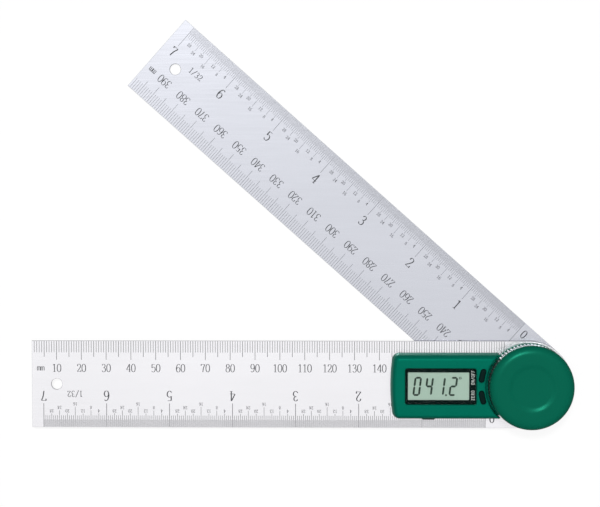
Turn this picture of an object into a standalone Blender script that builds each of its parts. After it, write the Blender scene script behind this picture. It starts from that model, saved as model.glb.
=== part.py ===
"""Angle finder with arms: two graduated steel rules on one pivot, a display housing and a lock knob.

Metres, +Z up. The part lies on its back. The swing rule's back face is at z = 0, the pivot axis is
the z axis, the base rule runs towards -X, and the swing rule is opened clockwise from it.
"""
import math

import bmesh
import bpy
from mathutils import Matrix

MM = 0.001

# Clearances shared by all pieces
STACK_GAP = 0.2 * MM
SIDE_GAP = 0.3 * MM
PIVOT_GAP = 0.1 * MM
CUT_OVERRUN = 1.0 * MM

# Rules: the length runs from the pivot axis to the square end
RULE_LENGTH = 200.0 * MM
RULE_WIDTH = 35.0 * MM
RULE_THICKNESS = 1.2 * MM
RULE_EDGE_BREAK = 0.12 * MM
HANG_HOLE_RADIUS = 2.2 * MM
HANG_HOLE_INSET = 10.0 * MM
ARM_ANGLE = math.radians(41.7)

# Pivot stud: countersunk head, two flats, and a thread for the knob
STUD_RADIUS = 4.0 * MM
STUD_FLAT_DISTANCE = 3.2 * MM
STUD_HEAD_RADIUS = 7.0 * MM
STUD_HEAD_DEPTH = 0.6 * MM
STUD_CHAMFER = 0.4 * MM
THREAD_PITCH = 0.75 * MM
KNOB_TURNS = 0.75
KNOB_LIFT = THREAD_PITCH * KNOB_TURNS

# Slip ring between the rules, and the bush in the base rule
GLIDE_INSET = 1.5 * MM
GLIDE_THICKNESS = 0.4 * MM
BUSH_WALL = 1.0 * MM
BUSH_FLANGE_WIDTH = 0.9 * MM
BUSH_FLANGE_THICKNESS = 0.5 * MM

# Angle sensor: fixed board on the base rule, rotor disc on a keyed hub
SENSOR_BOARD_THICKNESS = 0.5 * MM
SENSOR_BOARD_RADIUS = 13.3 * MM
SENSOR_NECK_HALF_WIDTH = 4.5 * MM
SENSOR_NECK_LENGTH = 4.7 * MM
ROTOR_HUB_NECK_RADIUS = 7.0 * MM
ROTOR_HUB_FLANGE_WIDTH = 1.6 * MM
ROTOR_HUB_FLANGE_THICKNESS = 0.4 * MM
ROTOR_MARGIN = 0.4 * MM
ROTOR_THICKNESS = 0.5 * MM
ROTOR_HEADROOM = 0.4 * MM
ROTOR_HUB_STANDOFF = 0.6 * MM

# Round collar of the housing, under the knob
TOWER_WALL = 0.8 * MM
TOWER_ROOF = 0.9 * MM
TOWER_ROUND = 0.4 * MM
COLLAR_OVERHANG = 0.3 * MM
COLLAR_HEIGHT = 1.6 * MM

# Clamp stack under and in the knob
SPRING_HEIGHT = 0.8 * MM
SPRING_THICKNESS = 0.2 * MM
SPRING_WIDTH = 2.0 * MM
SPRING_WAVES = 3
CLAMP_RADIUS = 8.5 * MM
CLAMP_THICKNESS = 0.9 * MM
STOP_MARGIN = 0.3 * MM
STOP_WASHER_RADIUS = 5.8 * MM
STOP_WASHER_THICKNESS = 0.4 * MM
STOP_HEAD_RADIUS = 2.9 * MM
STOP_HEAD_HEIGHT = 0.6 * MM
STOP_SHANK_RADIUS = 1.5 * MM
STOP_SHANK_LENGTH = 5.0 * MM

# Lock knob: knurled nut with a skirt over the collar, and a green cap
KNOB_SKIRT_WALL = 2.0 * MM
KNOB_SKIRT_GAP = 0.3 * MM
KNOB_SKIRT_CLEARANCE = 0.4 * MM
KNURL_COUNT = 72
KNURL_DEPTH = 0.45 * MM
KNURL_CHAMFER = 0.35 * MM
KNOB_WEB_THICKNESS = 2.8 * MM
KNOB_RIM_WALL = 2.8 * MM
CAP_EDGE_HEIGHT = 1.6 * MM
CAP_EDGE_LAND = 0.25 * MM
CAP_ROUND_WIDTH = 2.2 * MM
CAP_WALL = 0.6 * MM
CAP_PLUG_WALL = 1.2 * MM
DISH_RADIUS = 9.0 * MM
DISH_SLOPE_WIDTH = 1.8 * MM
DISH_DEPTH = 0.34 * MM

# Housing
HOUSING_HALF_WIDTH = 12.9 * MM
HOUSING_HEIGHT = 6.5 * MM
HOUSING_WALL = 1.2 * MM
HOUSING_ROOF = 1.4 * MM
HOUSING_DRAFT = 0.5 * MM
HOUSING_ROUND = 1.5 * MM
HOUSING_CORNER = 2.4 * MM
END_BULGE_RADIUS = 83.0 * MM
GROOVE_WIDTH = 0.6 * MM
GROOVE_WALL = 0.8 * MM
GROOVE_ROUND = 0.7 * MM
TIP_RADIUS = 0.8 * MM
SMALLEST_RADIUS = 0.25 * MM

# Battery tray and cell, and the bay for the controller between the tray and the knob
CONTROL_BAY_LENGTH = 8.4 * MM
TRAY_SIDE_WALL = 0.4 * MM
TRAY_FRONT_WALL = 1.4 * MM
TRAY_FLOOR = 0.3 * MM
TRAY_HOLD = 5.2 * MM
TRAY_FRONT_SETBACK = 0.15 * MM
LIP_WIDTH = 5.7 * MM
LIP_REACH = 0.8 * MM
CELL_RADIUS = 8.0 * MM
CELL_THICKNESS = 1.6 * MM
CELL_STEP = 0.25 * MM
CRADLE_WALL = 0.7 * MM
CONTACT_THICKNESS = 0.1 * MM
CONTACT_WIDTH = 4.0 * MM
CONTACT_FOOT = 1.5 * MM
CONTACT_LEAF_LENGTH = 10.0 * MM

# Main board and what it carries
BOARD_THICKNESS = 0.5 * MM
BOARD_END_MARGIN = 0.7 * MM
BOARD_SIDE_MARGIN = 1.9 * MM
CHIP_SIDE = 5.0 * MM
CHIP_THICKNESS = 0.8 * MM
LINK_LENGTH = 1.1 * MM
LINK_HALF_WIDTH = 3.0 * MM
DOME_RADIUS = 1.0 * MM

# Display
WINDOW_END_MARGIN = 5.2 * MM
WINDOW_SIDE_MARGIN = 5.7 * MM
WINDOW_BUTTON_MARGIN = 0.85 * MM
WINDOW_CORNER = 1.0 * MM
WINDOW_THICKNESS = 0.7 * MM
WINDOW_EDGE_BREAK = 0.12 * MM
LCD_END_MARGIN = 0.9 * MM
LCD_SIDE_MARGIN = 1.1 * MM
LEGEND_STRIP_WIDTH = 2.6 * MM
LCD_THICKNESS = 0.8 * MM
ZEBRA_HEIGHT = 0.7 * MM
ZEBRA_WIDTH = 1.2 * MM
ZEBRA_END_INSET = 1.0 * MM
FRAME_RIM = 0.9 * MM

# Buttons, along an arc about the pivot
BUTTON_GROOVE_MARGIN = 0.55 * MM
BUTTON_WIDTH = 2.0 * MM
BUTTON_MIDDLE_ANGLE = math.radians(12.8)
BUTTON_HALF_ANGLE = math.radians(4.8)
BUTTON_STAND = 0.4 * MM
BUTTON_ROUND = 0.25 * MM
BUTTON_FLANGE = 0.5 * MM
BUTTON_FLANGE_LIP = 0.25 * MM
BUTTON_TRAVEL = 0.3 * MM

# Screws
SCREW_RADIUS = 0.9 * MM
SCREW_HEAD_RADIUS = 1.8 * MM
SCREW_HEAD_DEPTH = 0.8 * MM
SCREW_REACH = 4.2 * MM
SCREW_SLOT_WIDTH = 0.4 * MM
SCREW_SLOT_DEPTH = 0.35 * MM
BOSS_RADIUS = 1.7 * MM
BOSS_END_MARGIN = 3.3 * MM
BOSS_NECK_MARGIN = 2.7 * MM
BOSS_SIDE_MARGIN = 3.0 * MM
BOARD_SCREW_RADIUS = 0.5 * MM
BOARD_SCREW_HEAD_RADIUS = 1.1 * MM
BOARD_SCREW_HEAD_HEIGHT = 0.5 * MM
BOARD_SCREW_LENGTH = 1.4 * MM
BOARD_BOSS_RADIUS = 1.15 * MM
BOARD_BOSS_BUTTON_MARGIN = 1.35 * MM
BOARD_BOSS_EDGE_MARGIN = 1.4 * MM

# Facets: sides of a full circle
FINE_SIDES = 64
ROUND_SIDES = 40
SMALL_SIDES = 12
MERGE_DISTANCE = 0.001 * MM

# Heights of the rules
SWING_FRONT_Z = RULE_THICKNESS
GLIDE_BACK_Z = SWING_FRONT_Z + STACK_GAP
GLIDE_FRONT_Z = GLIDE_BACK_Z + GLIDE_THICKNESS
BASE_BACK_Z = GLIDE_FRONT_Z + STACK_GAP
BASE_FRONT_Z = BASE_BACK_Z + RULE_THICKNESS
SEAT_Z = BASE_FRONT_Z + STACK_GAP

# Heights of the pivot stack
BUSH_TOP_Z = SEAT_Z + BUSH_FLANGE_THICKNESS
SENSOR_TOP_Z = SEAT_Z + SENSOR_BOARD_THICKNESS
HUB_BOTTOM_Z = max(BUSH_TOP_Z, SENSOR_TOP_Z) + STACK_GAP
HUB_FLANGE_TOP_Z = HUB_BOTTOM_Z + ROTOR_HUB_FLANGE_THICKNESS
ROTOR_BOTTOM_Z = HUB_FLANGE_TOP_Z + STACK_GAP
ROTOR_TOP_Z = ROTOR_BOTTOM_Z + ROTOR_THICKNESS
TOWER_CEILING_Z = ROTOR_TOP_Z + ROTOR_HEADROOM
TOWER_TOP_Z = TOWER_CEILING_Z + TOWER_ROOF
COLLAR_TOP_Z = SEAT_Z + COLLAR_HEIGHT
HUB_TOP_Z = TOWER_TOP_Z + ROTOR_HUB_STANDOFF
SPRING_BOTTOM_Z = HUB_TOP_Z + STACK_GAP
SPRING_TOP_Z = SPRING_BOTTOM_Z + SPRING_HEIGHT
CLAMP_BOTTOM_Z = SPRING_TOP_Z + STACK_GAP
CLAMP_TOP_Z = CLAMP_BOTTOM_Z + CLAMP_THICKNESS
WEB_BOTTOM_Z = CLAMP_TOP_Z + STACK_GAP
WEB_TOP_Z = WEB_BOTTOM_Z + KNOB_WEB_THICKNESS
STOP_WASHER_Z = WEB_TOP_Z + KNOB_LIFT + STOP_MARGIN
STUD_TOP_Z = STOP_WASHER_Z - STACK_GAP
STOP_WASHER_TOP_Z = STOP_WASHER_Z + STOP_WASHER_THICKNESS
STOP_HEAD_Z = STOP_WASHER_TOP_Z + STACK_GAP
STOP_HEAD_TOP_Z = STOP_HEAD_Z + STOP_HEAD_HEIGHT
CAP_CEILING_Z = STOP_HEAD_TOP_Z + STACK_GAP
KNOB_TOP_Z = CAP_CEILING_Z + CAP_WALL + DISH_DEPTH
CAP_EDGE_Z = KNOB_TOP_Z - CAP_EDGE_HEIGHT
NUT_TOP_Z = CAP_EDGE_Z - STACK_GAP
NUT_BOTTOM_Z = COLLAR_TOP_Z + KNOB_SKIRT_GAP
CAP_PLUG_Z = WEB_TOP_Z + STACK_GAP

# Heights inside the housing
TRAY_BOTTOM_Z = SEAT_Z + STACK_GAP
CELL_BOTTOM_Z = TRAY_BOTTOM_Z + TRAY_FLOOR + STACK_GAP
CELL_TOP_Z = CELL_BOTTOM_Z + CELL_THICKNESS
CONTACT_BOTTOM_Z = CELL_TOP_Z + STACK_GAP
CONTACT_TOP_Z = CONTACT_BOTTOM_Z + CONTACT_THICKNESS
BOARD_BOTTOM_Z = CONTACT_TOP_Z + STACK_GAP
BOARD_TOP_Z = BOARD_BOTTOM_Z + BOARD_THICKNESS
ZEBRA_BOTTOM_Z = BOARD_TOP_Z + STACK_GAP
ZEBRA_TOP_Z = ZEBRA_BOTTOM_Z + ZEBRA_HEIGHT
LCD_BOTTOM_Z = ZEBRA_TOP_Z + STACK_GAP
LCD_TOP_Z = LCD_BOTTOM_Z + LCD_THICKNESS
WINDOW_BOTTOM_Z = LCD_TOP_Z + STACK_GAP
WINDOW_TOP_Z = WINDOW_BOTTOM_Z + WINDOW_THICKNESS
HOUSING_TOP_Z = BASE_FRONT_Z + HOUSING_HEIGHT
CAVITY_TOP_Z = HOUSING_TOP_Z - HOUSING_ROOF
BUTTON_SHOULDER_Z = CAVITY_TOP_Z - STACK_GAP
BUTTON_BOTTOM_Z = BUTTON_SHOULDER_Z - BUTTON_FLANGE
BUTTON_TOP_Z = HOUSING_TOP_Z + BUTTON_STAND
DOME_TOP_Z = BUTTON_BOTTOM_Z - BUTTON_TRAVEL - STACK_GAP
DOME_BOTTOM_Z = BOARD_TOP_Z + STACK_GAP / 2

# Radii at the pivot
HUB_RADIUS = RULE_WIDTH / 2.0
GLIDE_RADIUS = HUB_RADIUS - GLIDE_INSET
BUSH_BORE_RADIUS = STUD_RADIUS + PIVOT_GAP
BUSH_RADIUS = BUSH_BORE_RADIUS + BUSH_WALL
BUSH_FLANGE_RADIUS = BUSH_RADIUS + BUSH_FLANGE_WIDTH
SENSOR_BORE_RADIUS = BUSH_FLANGE_RADIUS + SIDE_GAP
TOWER_BORE_RADIUS = ROTOR_HUB_NECK_RADIUS + SIDE_GAP
STUD_KEY_RADIUS = STUD_RADIUS + STACK_GAP
STUD_KEY_FLAT = STUD_FLAT_DISTANCE + STACK_GAP

# Radii from the sensor outwards: tower, knob, groove, buttons
ROTOR_RADIUS = SENSOR_BOARD_RADIUS - ROTOR_MARGIN
TOWER_INNER_RADIUS = SENSOR_BOARD_RADIUS + SIDE_GAP
TOWER_RADIUS = TOWER_INNER_RADIUS + TOWER_WALL
KNOB_SKIRT_RADIUS = TOWER_RADIUS + KNOB_SKIRT_CLEARANCE
KNOB_RADIUS = KNOB_SKIRT_RADIUS + KNOB_SKIRT_WALL
KNOB_RECESS_RADIUS = KNOB_RADIUS - KNOB_RIM_WALL
COLLAR_RADIUS = KNOB_RADIUS + COLLAR_OVERHANG
GROOVE_RADIUS = KNOB_RADIUS + GROOVE_WIDTH
CAVITY_ARC_RADIUS = GROOVE_RADIUS + GROOVE_WALL
BUTTON_INNER_RADIUS = CAVITY_ARC_RADIUS + BUTTON_GROOVE_MARGIN
BUTTON_OUTER_RADIUS = BUTTON_INNER_RADIUS + BUTTON_WIDTH
SENSOR_NECK_REACH = CAVITY_ARC_RADIUS + SENSOR_NECK_LENGTH

# The housing's plan, from the pivot: neck, controller bay, cradle, screw column, end
TRAY_WIDTH = 2.0 * (CELL_RADIUS + STACK_GAP + TRAY_SIDE_WALL)
CRADLE_INNER = TRAY_WIDTH / 2.0 + STACK_GAP
CRADLE_OUTER = CRADLE_INNER + CRADLE_WALL
CHIP_CENTRE_X = -SENSOR_NECK_REACH - CONTROL_BAY_LENGTH / 2.0
TRAY_CENTRE_X = -SENSOR_NECK_REACH - CONTROL_BAY_LENGTH - CRADLE_OUTER
BOSS_RIGHT_X = -SENSOR_NECK_REACH - BOSS_NECK_MARGIN
BOSS_LEFT_X = TRAY_CENTRE_X - CRADLE_OUTER - SIDE_GAP - BOSS_RADIUS
BOSS_Y = HOUSING_HALF_WIDTH - BOSS_SIDE_MARGIN
HOUSING_REACH = BOSS_END_MARGIN - BOSS_LEFT_X
CELL_CENTRE_Y = TRAY_FRONT_SETBACK + TRAY_FRONT_WALL + STACK_GAP + CELL_RADIUS - HOUSING_HALF_WIDTH
TRAY_BACK_Y = CELL_CENTRE_Y + TRAY_HOLD

# The display's plan, inside the housing's
WINDOW_LEFT_X = WINDOW_END_MARGIN - HOUSING_REACH
WINDOW_RIGHT_X = -BUTTON_OUTER_RADIUS - WINDOW_BUTTON_MARGIN
WINDOW_HALF_HEIGHT = HOUSING_HALF_WIDTH - WINDOW_SIDE_MARGIN
LCD_LEFT_X = WINDOW_LEFT_X + LCD_END_MARGIN
LCD_RIGHT_X = WINDOW_RIGHT_X - LEGEND_STRIP_WIDTH
LCD_HALF_HEIGHT = WINDOW_HALF_HEIGHT - LCD_SIDE_MARGIN
BOARD_LEFT_X = LCD_LEFT_X - BOARD_END_MARGIN
BOARD_HALF_WIDTH = LCD_HALF_HEIGHT + BOARD_SIDE_MARGIN
BOARD_BOSS_X = -BUTTON_OUTER_RADIUS - BOARD_BOSS_BUTTON_MARGIN
BOARD_BOSS_Y = BOARD_HALF_WIDTH - BOARD_BOSS_EDGE_MARGIN

# Finishes: colour, roughness, metallic
STEEL = ((0.80, 0.81, 0.83), 0.28, 1.0)
PLATED_BRASS = ((0.72, 0.74, 0.75), 0.22, 1.0)
BRASS = ((0.78, 0.62, 0.30), 0.35, 1.0)
SCREW_STEEL = ((0.55, 0.56, 0.58), 0.35, 1.0)
SPRING_STEEL = ((0.62, 0.62, 0.64), 0.30, 1.0)
GREEN_PLASTIC = ((0.004, 0.150, 0.100), 0.38, 0.0)
BLACK_PLASTIC = ((0.012, 0.014, 0.015), 0.45, 0.0)
WHITE_PLASTIC = ((0.82, 0.81, 0.78), 0.50, 0.0)
RUBBER = ((0.02, 0.02, 0.02), 0.75, 0.0)
ZEBRA_RUBBER = ((0.25, 0.25, 0.26), 0.70, 0.0)
BOARD_GREEN = ((0.02, 0.17, 0.07), 0.45, 0.0)
WINDOW_PLASTIC = ((0.03, 0.04, 0.04), 0.12, 0.0)
LCD_GLASS = ((0.48, 0.62, 0.50), 0.20, 0.0)
CELL_STEEL = ((0.66, 0.66, 0.67), 0.25, 1.0)


def clear_scene():
    for item in list(bpy.data.objects):
        bpy.data.objects.remove(item, do_unlink=True)


def new_collection(name):
    collection = bpy.data.collections.new(name)
    bpy.context.scene.collection.children.link(collection)
    return collection


clear_scene()
PARTS = new_collection("angle_finder")
CUTTERS = new_collection("cutters")


def new_material(name, finish):
    colour, roughness, metallic = finish
    material = bpy.data.materials.new(name)
    material.use_nodes = True
    shader = material.node_tree.nodes["Principled BSDF"]
    shader.inputs["Base Color"].default_value = (*colour, 1.0)
    shader.inputs["Roughness"].default_value = roughness
    shader.inputs["Metallic"].default_value = metallic
    material.diffuse_color = (*colour, 1.0)
    return material


def place(name, mesh, finish=None, parent=None):
    """A piece when it has a finish, and a cutter when it has none."""
    item = bpy.data.objects.new(name, mesh)
    if finish is None:
        CUTTERS.objects.link(item)
        item.hide_render = True
        item.display_type = "WIRE"
    else:
        PARTS.objects.link(item)
        mesh.materials.append(new_material(name + "_finish", finish))
    item.parent = parent
    return item


def new_empty(name, location, parent=None, turn=0.0):
    """An empty on a joint's axis, given in the frame of its parent."""
    item = bpy.data.objects.new(name, None)
    PARTS.objects.link(item)
    item.location = location
    item.rotation_euler = (0.0, 0.0, turn)
    item.parent = parent
    return item


def shade_round(mesh, limit=math.radians(30.0)):
    mesh.shade_smooth()
    mesh.set_sharp_from_angle(angle=limit)


# Outlines

def arc(centre_x, centre_y, radius, start, end, steps):
    points = []
    for index in range(steps + 1):
        angle = start + (end - start) * index / steps
        points.append((centre_x + radius * math.cos(angle), centre_y + radius * math.sin(angle)))
    return points


def circle(radius, sides, centre_x=0.0, centre_y=0.0):
    return arc(centre_x, centre_y, radius, 0.0, 2.0 * math.pi * (sides - 1) / sides, sides - 1)


def rounded_box(left, right, bottom, top, radius, steps=4):
    quarter = math.pi / 2.0
    points = arc(right - radius, top - radius, radius, 0.0, quarter, steps)
    points += arc(left + radius, top - radius, radius, quarter, 2.0 * quarter, steps)
    points += arc(left + radius, bottom + radius, radius, 2.0 * quarter, 3.0 * quarter, steps)
    points += arc(right - radius, bottom + radius, radius, 3.0 * quarter, 4.0 * quarter, steps)
    return points


def sharp_box(left, right, bottom, top):
    return [(left, bottom), (right, bottom), (right, top), (left, top)]


def double_d(radius, flat, steps=8):
    """A circle with two flats, square to Y."""
    side = math.asin(flat / radius)
    points = arc(0.0, 0.0, radius, -side, side, steps)
    points += arc(0.0, 0.0, radius, math.pi - side, math.pi + side, steps)
    return points


def kidney(inner_radius, outer_radius, middle, half_angle, steps=6):
    """A band along an arc about the pivot, with round ends."""
    centre_radius = (inner_radius + outer_radius) / 2.0
    end_radius = (outer_radius - inner_radius) / 2.0
    start = middle - half_angle
    end = middle + half_angle
    points = arc(0.0, 0.0, outer_radius, start, end, steps)
    points += arc(centre_radius * math.cos(end), centre_radius * math.sin(end), end_radius,
                  end, end + math.pi, steps)[1:-1]
    points += arc(0.0, 0.0, inner_radius, end, start, steps)
    points += arc(centre_radius * math.cos(start), centre_radius * math.sin(start), end_radius,
                  start + math.pi, start + 2.0 * math.pi, steps)[1:-1]
    return points


def rule_outline():
    """The square end is at -X, and the hub end is a half circle about the pivot."""
    points = [(-RULE_LENGTH, HUB_RADIUS), (-RULE_LENGTH, -HUB_RADIUS)]
    points += arc(0.0, 0.0, HUB_RADIUS, -math.pi / 2.0, math.pi / 2.0, ROUND_SIDES // 2)
    return points


def housing_outline(side_inset, arc_inset):
    """Bulged end at -X, straight sides, and a hollow arc round the knob at +X.

    The upper half is built from circles that touch each other, and the lower half mirrors it.
    """
    half_width = HOUSING_HALF_WIDTH - side_inset
    bulge_radius = END_BULGE_RADIUS - side_inset
    bulge_centre = END_BULGE_RADIUS - HOUSING_REACH
    corner = max(HOUSING_CORNER - side_inset, SMALLEST_RADIUS)
    corner_y = half_width - corner
    corner_reach = math.sqrt((bulge_radius - corner) ** 2 - corner_y ** 2)
    corner_x = bulge_centre - corner_reach
    corner_angle = math.atan2(corner_y, -corner_reach)
    hollow = GROOVE_RADIUS + arc_inset
    tip = max(TIP_RADIUS - arc_inset, SMALLEST_RADIUS)
    tip_y = half_width - tip
    tip_x = -math.sqrt((hollow + tip) ** 2 - tip_y ** 2)
    tip_angle = math.atan2(tip_y, tip_x)
    upper = arc(bulge_centre, 0.0, bulge_radius, math.pi, corner_angle, 6)[:-1]
    upper += arc(corner_x, corner_y, corner, corner_angle, math.pi / 2.0, 6)
    upper += arc(tip_x, tip_y, tip, math.pi / 2.0, tip_angle - math.pi, 5)[:-1]
    upper += arc(0.0, 0.0, hollow, tip_angle, math.pi, 10)
    lower = [(x, -y) for x, y in reversed(upper[1:-1])]
    return upper + lower


def knurl_outline(radius, depth):
    """Three points a groove: its root, and the two ends of the crest beside it."""
    points = []
    pitch = 2.0 * math.pi / KNURL_COUNT
    for index in range(KNURL_COUNT):
        root = index * pitch
        for share, drop in ((0.0, depth), (1.0 / 3.0, 0.0), (2.0 / 3.0, 0.0)):
            angle = root + share * pitch
            points.append(((radius - drop) * math.cos(angle), (radius - drop) * math.sin(angle)))
    return points


# Solids

def plate_mesh(name, loops, bottom, top):
    """A flat outline, with holes where more loops follow, filled and given its thickness."""
    curve = bpy.data.curves.new(name, "CURVE")
    curve.dimensions = "2D"
    curve.fill_mode = "BOTH"
    curve.extrude = (top - bottom) / 2.0
    for loop in loops:
        spline = curve.splines.new("POLY")
        spline.points.add(len(loop) - 1)
        for point, (x, y) in zip(spline.points, loop):
            point.co = (x, y, 0.0, 1.0)
        spline.use_cyclic_u = True
    guide = bpy.data.objects.new(name, curve)
    CUTTERS.objects.link(guide)
    guide.location.z = (bottom + top) / 2.0
    bpy.context.view_layer.update()
    evaluated = guide.evaluated_get(bpy.context.evaluated_depsgraph_get())
    mesh = bpy.data.meshes.new_from_object(evaluated)
    mesh.transform(guide.matrix_world)
    bpy.data.objects.remove(guide, do_unlink=True)
    bpy.data.curves.remove(curve)
    shell = bmesh.new()
    shell.from_mesh(mesh)
    bmesh.ops.remove_doubles(shell, verts=shell.verts, dist=MERGE_DISTANCE)
    shell.to_mesh(mesh)
    shell.free()
    mesh.name = name
    return mesh


def plate(name, loops, bottom, top, finish=None, parent=None):
    mesh = plate_mesh(name, loops, bottom, top)
    shade_round(mesh)
    return place(name, mesh, finish, parent)


def box(name, left, right, front, back, bottom, top, finish=None, parent=None):
    shell = bmesh.new()
    bmesh.ops.create_cube(shell, size=1.0)
    size = Matrix.Diagonal((right - left, back - front, top - bottom, 1.0))
    middle = ((left + right) / 2.0, (front + back) / 2.0, (bottom + top) / 2.0)
    shell.transform(Matrix.Translation(middle) @ size)
    mesh = bpy.data.meshes.new(name)
    shell.to_mesh(mesh)
    shell.free()
    return place(name, mesh, finish, parent)


def rod(name, radius, bottom, top, sides, centre=(0.0, 0.0), finish=None, parent=None, tip=None):
    """A cylinder, or a cone whose upper radius is the tip."""
    shell = bmesh.new()
    bmesh.ops.create_cone(shell, cap_ends=True, segments=sides, radius1=radius,
                          radius2=radius if tip is None else tip, depth=top - bottom)
    shell.transform(Matrix.Translation((centre[0], centre[1], (bottom + top) / 2.0)))
    mesh = bpy.data.meshes.new(name)
    shell.to_mesh(mesh)
    shell.free()
    shade_round(mesh)
    return place(name, mesh, finish, parent)


def turned(name, profile, sides, finish=None, parent=None, closed=False, centre=(0.0, 0.0)):
    """A profile of radius and height turned about an upright axis, top to bottom on its outside."""
    mesh = bpy.data.meshes.new(name)
    points = [(radius, 0.0, height) for radius, height in profile]
    edges = [(index, index + 1) for index in range(len(points) - 1)]
    if closed:
        edges.append((len(points) - 1, 0))
    mesh.from_pydata(points, edges, [])
    item = place(name, mesh, finish, parent)
    item.location = (centre[0], centre[1], 0.0)
    screw = item.modifiers.new("turn", "SCREW")
    screw.axis = "Z"
    screw.angle = 2.0 * math.pi
    screw.steps = sides
    screw.render_steps = sides
    screw.use_merge_vertices = True
    screw.merge_threshold = MERGE_DISTANCE
    screw.use_smooth_shade = False
    return item


def loft(name, sections, finish=None, parent=None):
    """Outlines of equal point counts joined from the lowest to the highest, capped at both ends."""
    mesh = bpy.data.meshes.new(name)
    count = len(sections[0][1])
    points = [(x, y, height) for height, outline in sections for x, y in outline]
    faces = []
    for level in range(len(sections) - 1):
        low = level * count
        for index in range(count):
            after = (index + 1) % count
            faces.append((low + index, low + after, low + count + after, low + count + index))
    faces.append(tuple(reversed(range(count))))
    faces.append(tuple(range(len(points) - count, len(points))))
    mesh.from_pydata(points, [], faces)
    shell = bmesh.new()
    shell.from_mesh(mesh)
    bmesh.ops.recalc_face_normals(shell, faces=shell.faces)
    shell.to_mesh(mesh)
    shell.free()
    shade_round(mesh)
    return place(name, mesh, finish, parent)


def boolean(target, tool, operation):
    modifier = target.modifiers.new(tool.name, "BOOLEAN")
    modifier.operation = operation
    modifier.object = tool
    modifier.solver = "EXACT"


def cut(target, *tools):
    for tool in tools:
        boolean(target, tool, "DIFFERENCE")


def join(target, *tools):
    for tool in tools:
        boolean(target, tool, "UNION")


def break_edges(item, width, segments=1):
    bevel = item.modifiers.new("edge", "BEVEL")
    bevel.width = width
    bevel.segments = segments
    bevel.limit_method = "ANGLE"
    bevel.angle_limit = math.radians(40.0)


def round_steps(width, height, steps):
    """Inset and drop of a quarter ellipse, from the side of an edge to its top."""
    quarter = math.pi / 2.0
    angles = [quarter * index / steps for index in range(steps + 1)]
    return [(width * (1.0 - math.cos(angle)), height * (1.0 - math.sin(angle))) for angle in angles]


# Axes

SWING_AXIS = new_empty("swing_arm_axis", (0.0, 0.0, 0.0), turn=-ARM_ANGLE)
LIFT_AXIS = new_empty("clamp_lift_axis", (0.0, 0.0, CLAMP_BOTTOM_Z), SWING_AXIS)
KNOB_AXIS = new_empty("knob_axis", (0.0, 0.0, WEB_BOTTOM_Z - CLAMP_BOTTOM_Z), LIFT_AXIS)
TRAY_AXIS = new_empty("tray_axis", (TRAY_CENTRE_X, -HOUSING_HALF_WIDTH, TRAY_BOTTOM_Z))


# Rules and pivot

def cross_slot(name, centre, top, bottom, length, parent=None):
    """Two crossed bars that sink a drive into a screw's head."""
    half_width = SCREW_SLOT_WIDTH / 2.0
    first = box(name + "_bar", centre[0] - length, centre[0] + length, centre[1] - half_width,
                centre[1] + half_width, bottom, top, parent=parent)
    second = box(name + "_cross", centre[0] - half_width, centre[0] + half_width, centre[1] - length,
                 centre[1] + length, bottom, top, parent=parent)
    return first, second


def rule(name, back_z, parent=None):
    item = plate(name, [rule_outline()], back_z, back_z + RULE_THICKNESS, STEEL, parent)
    break_edges(item, RULE_EDGE_BREAK)
    hole = rod(name + "_hang_hole", HANG_HOLE_RADIUS, back_z - CUT_OVERRUN,
               back_z + RULE_THICKNESS + CUT_OVERRUN, SMALL_SIDES,
               centre=(HANG_HOLE_INSET - RULE_LENGTH, 0.0), parent=parent)
    cut(item, hole)
    return item


def countersink(name, centre, back_z, head_radius, depth, through_radius, through_z, parent=None):
    """A cone that opens at the back, with the hole beyond it."""
    spread = head_radius + CUT_OVERRUN
    tip = head_radius - depth
    profile = [(0.0, through_z), (through_radius, through_z), (through_radius, back_z + depth),
               (tip, back_z + depth), (spread, back_z - CUT_OVERRUN), (0.0, back_z - CUT_OVERRUN)]
    return turned(name, profile, SMALL_SIDES, parent=parent, centre=centre)


SCREW_PLACES = {
    "housing_screw_1": (BOSS_LEFT_X, BOSS_Y),
    "housing_screw_2": (BOSS_LEFT_X, -BOSS_Y),
    "housing_screw_3": (BOSS_RIGHT_X, BOSS_Y),
    "housing_screw_4": (BOSS_RIGHT_X, -BOSS_Y),
}
BOARD_SCREW_PLACES = {
    "board_screw_1": (BOARD_BOSS_X, BOARD_BOSS_Y),
    "board_screw_2": (BOARD_BOSS_X, -BOARD_BOSS_Y),
}


def base_rule():
    item = rule("base_rule", BASE_BACK_Z)
    bore = rod("base_rule_bore", BUSH_RADIUS + STACK_GAP, BASE_BACK_Z - CUT_OVERRUN,
               BASE_FRONT_Z + CUT_OVERRUN, ROUND_SIDES)
    cut(item, bore)
    for name, centre in SCREW_PLACES.items():
        cut(item, countersink(name + "_sink", centre, BASE_BACK_Z, SCREW_HEAD_RADIUS + STACK_GAP,
                              SCREW_HEAD_DEPTH, SCREW_RADIUS + STACK_GAP, BASE_FRONT_Z + CUT_OVERRUN))
    return item


def swing_rule():
    item = rule("swing_rule", 0.0, SWING_AXIS)
    sink_radius = STUD_HEAD_RADIUS + STACK_GAP
    spread = sink_radius + CUT_OVERRUN
    depth = STUD_HEAD_DEPTH + STACK_GAP
    profile = [(0.0, depth), (sink_radius - depth, depth), (spread, -CUT_OVERRUN), (0.0, -CUT_OVERRUN)]
    sink = turned("swing_rule_sink", profile, ROUND_SIDES, parent=SWING_AXIS)
    key = plate("swing_rule_key", [double_d(STUD_KEY_RADIUS, STUD_KEY_FLAT)], -CUT_OVERRUN,
                RULE_THICKNESS + CUT_OVERRUN, parent=SWING_AXIS)
    cut(item, sink, key)
    return item


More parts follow.
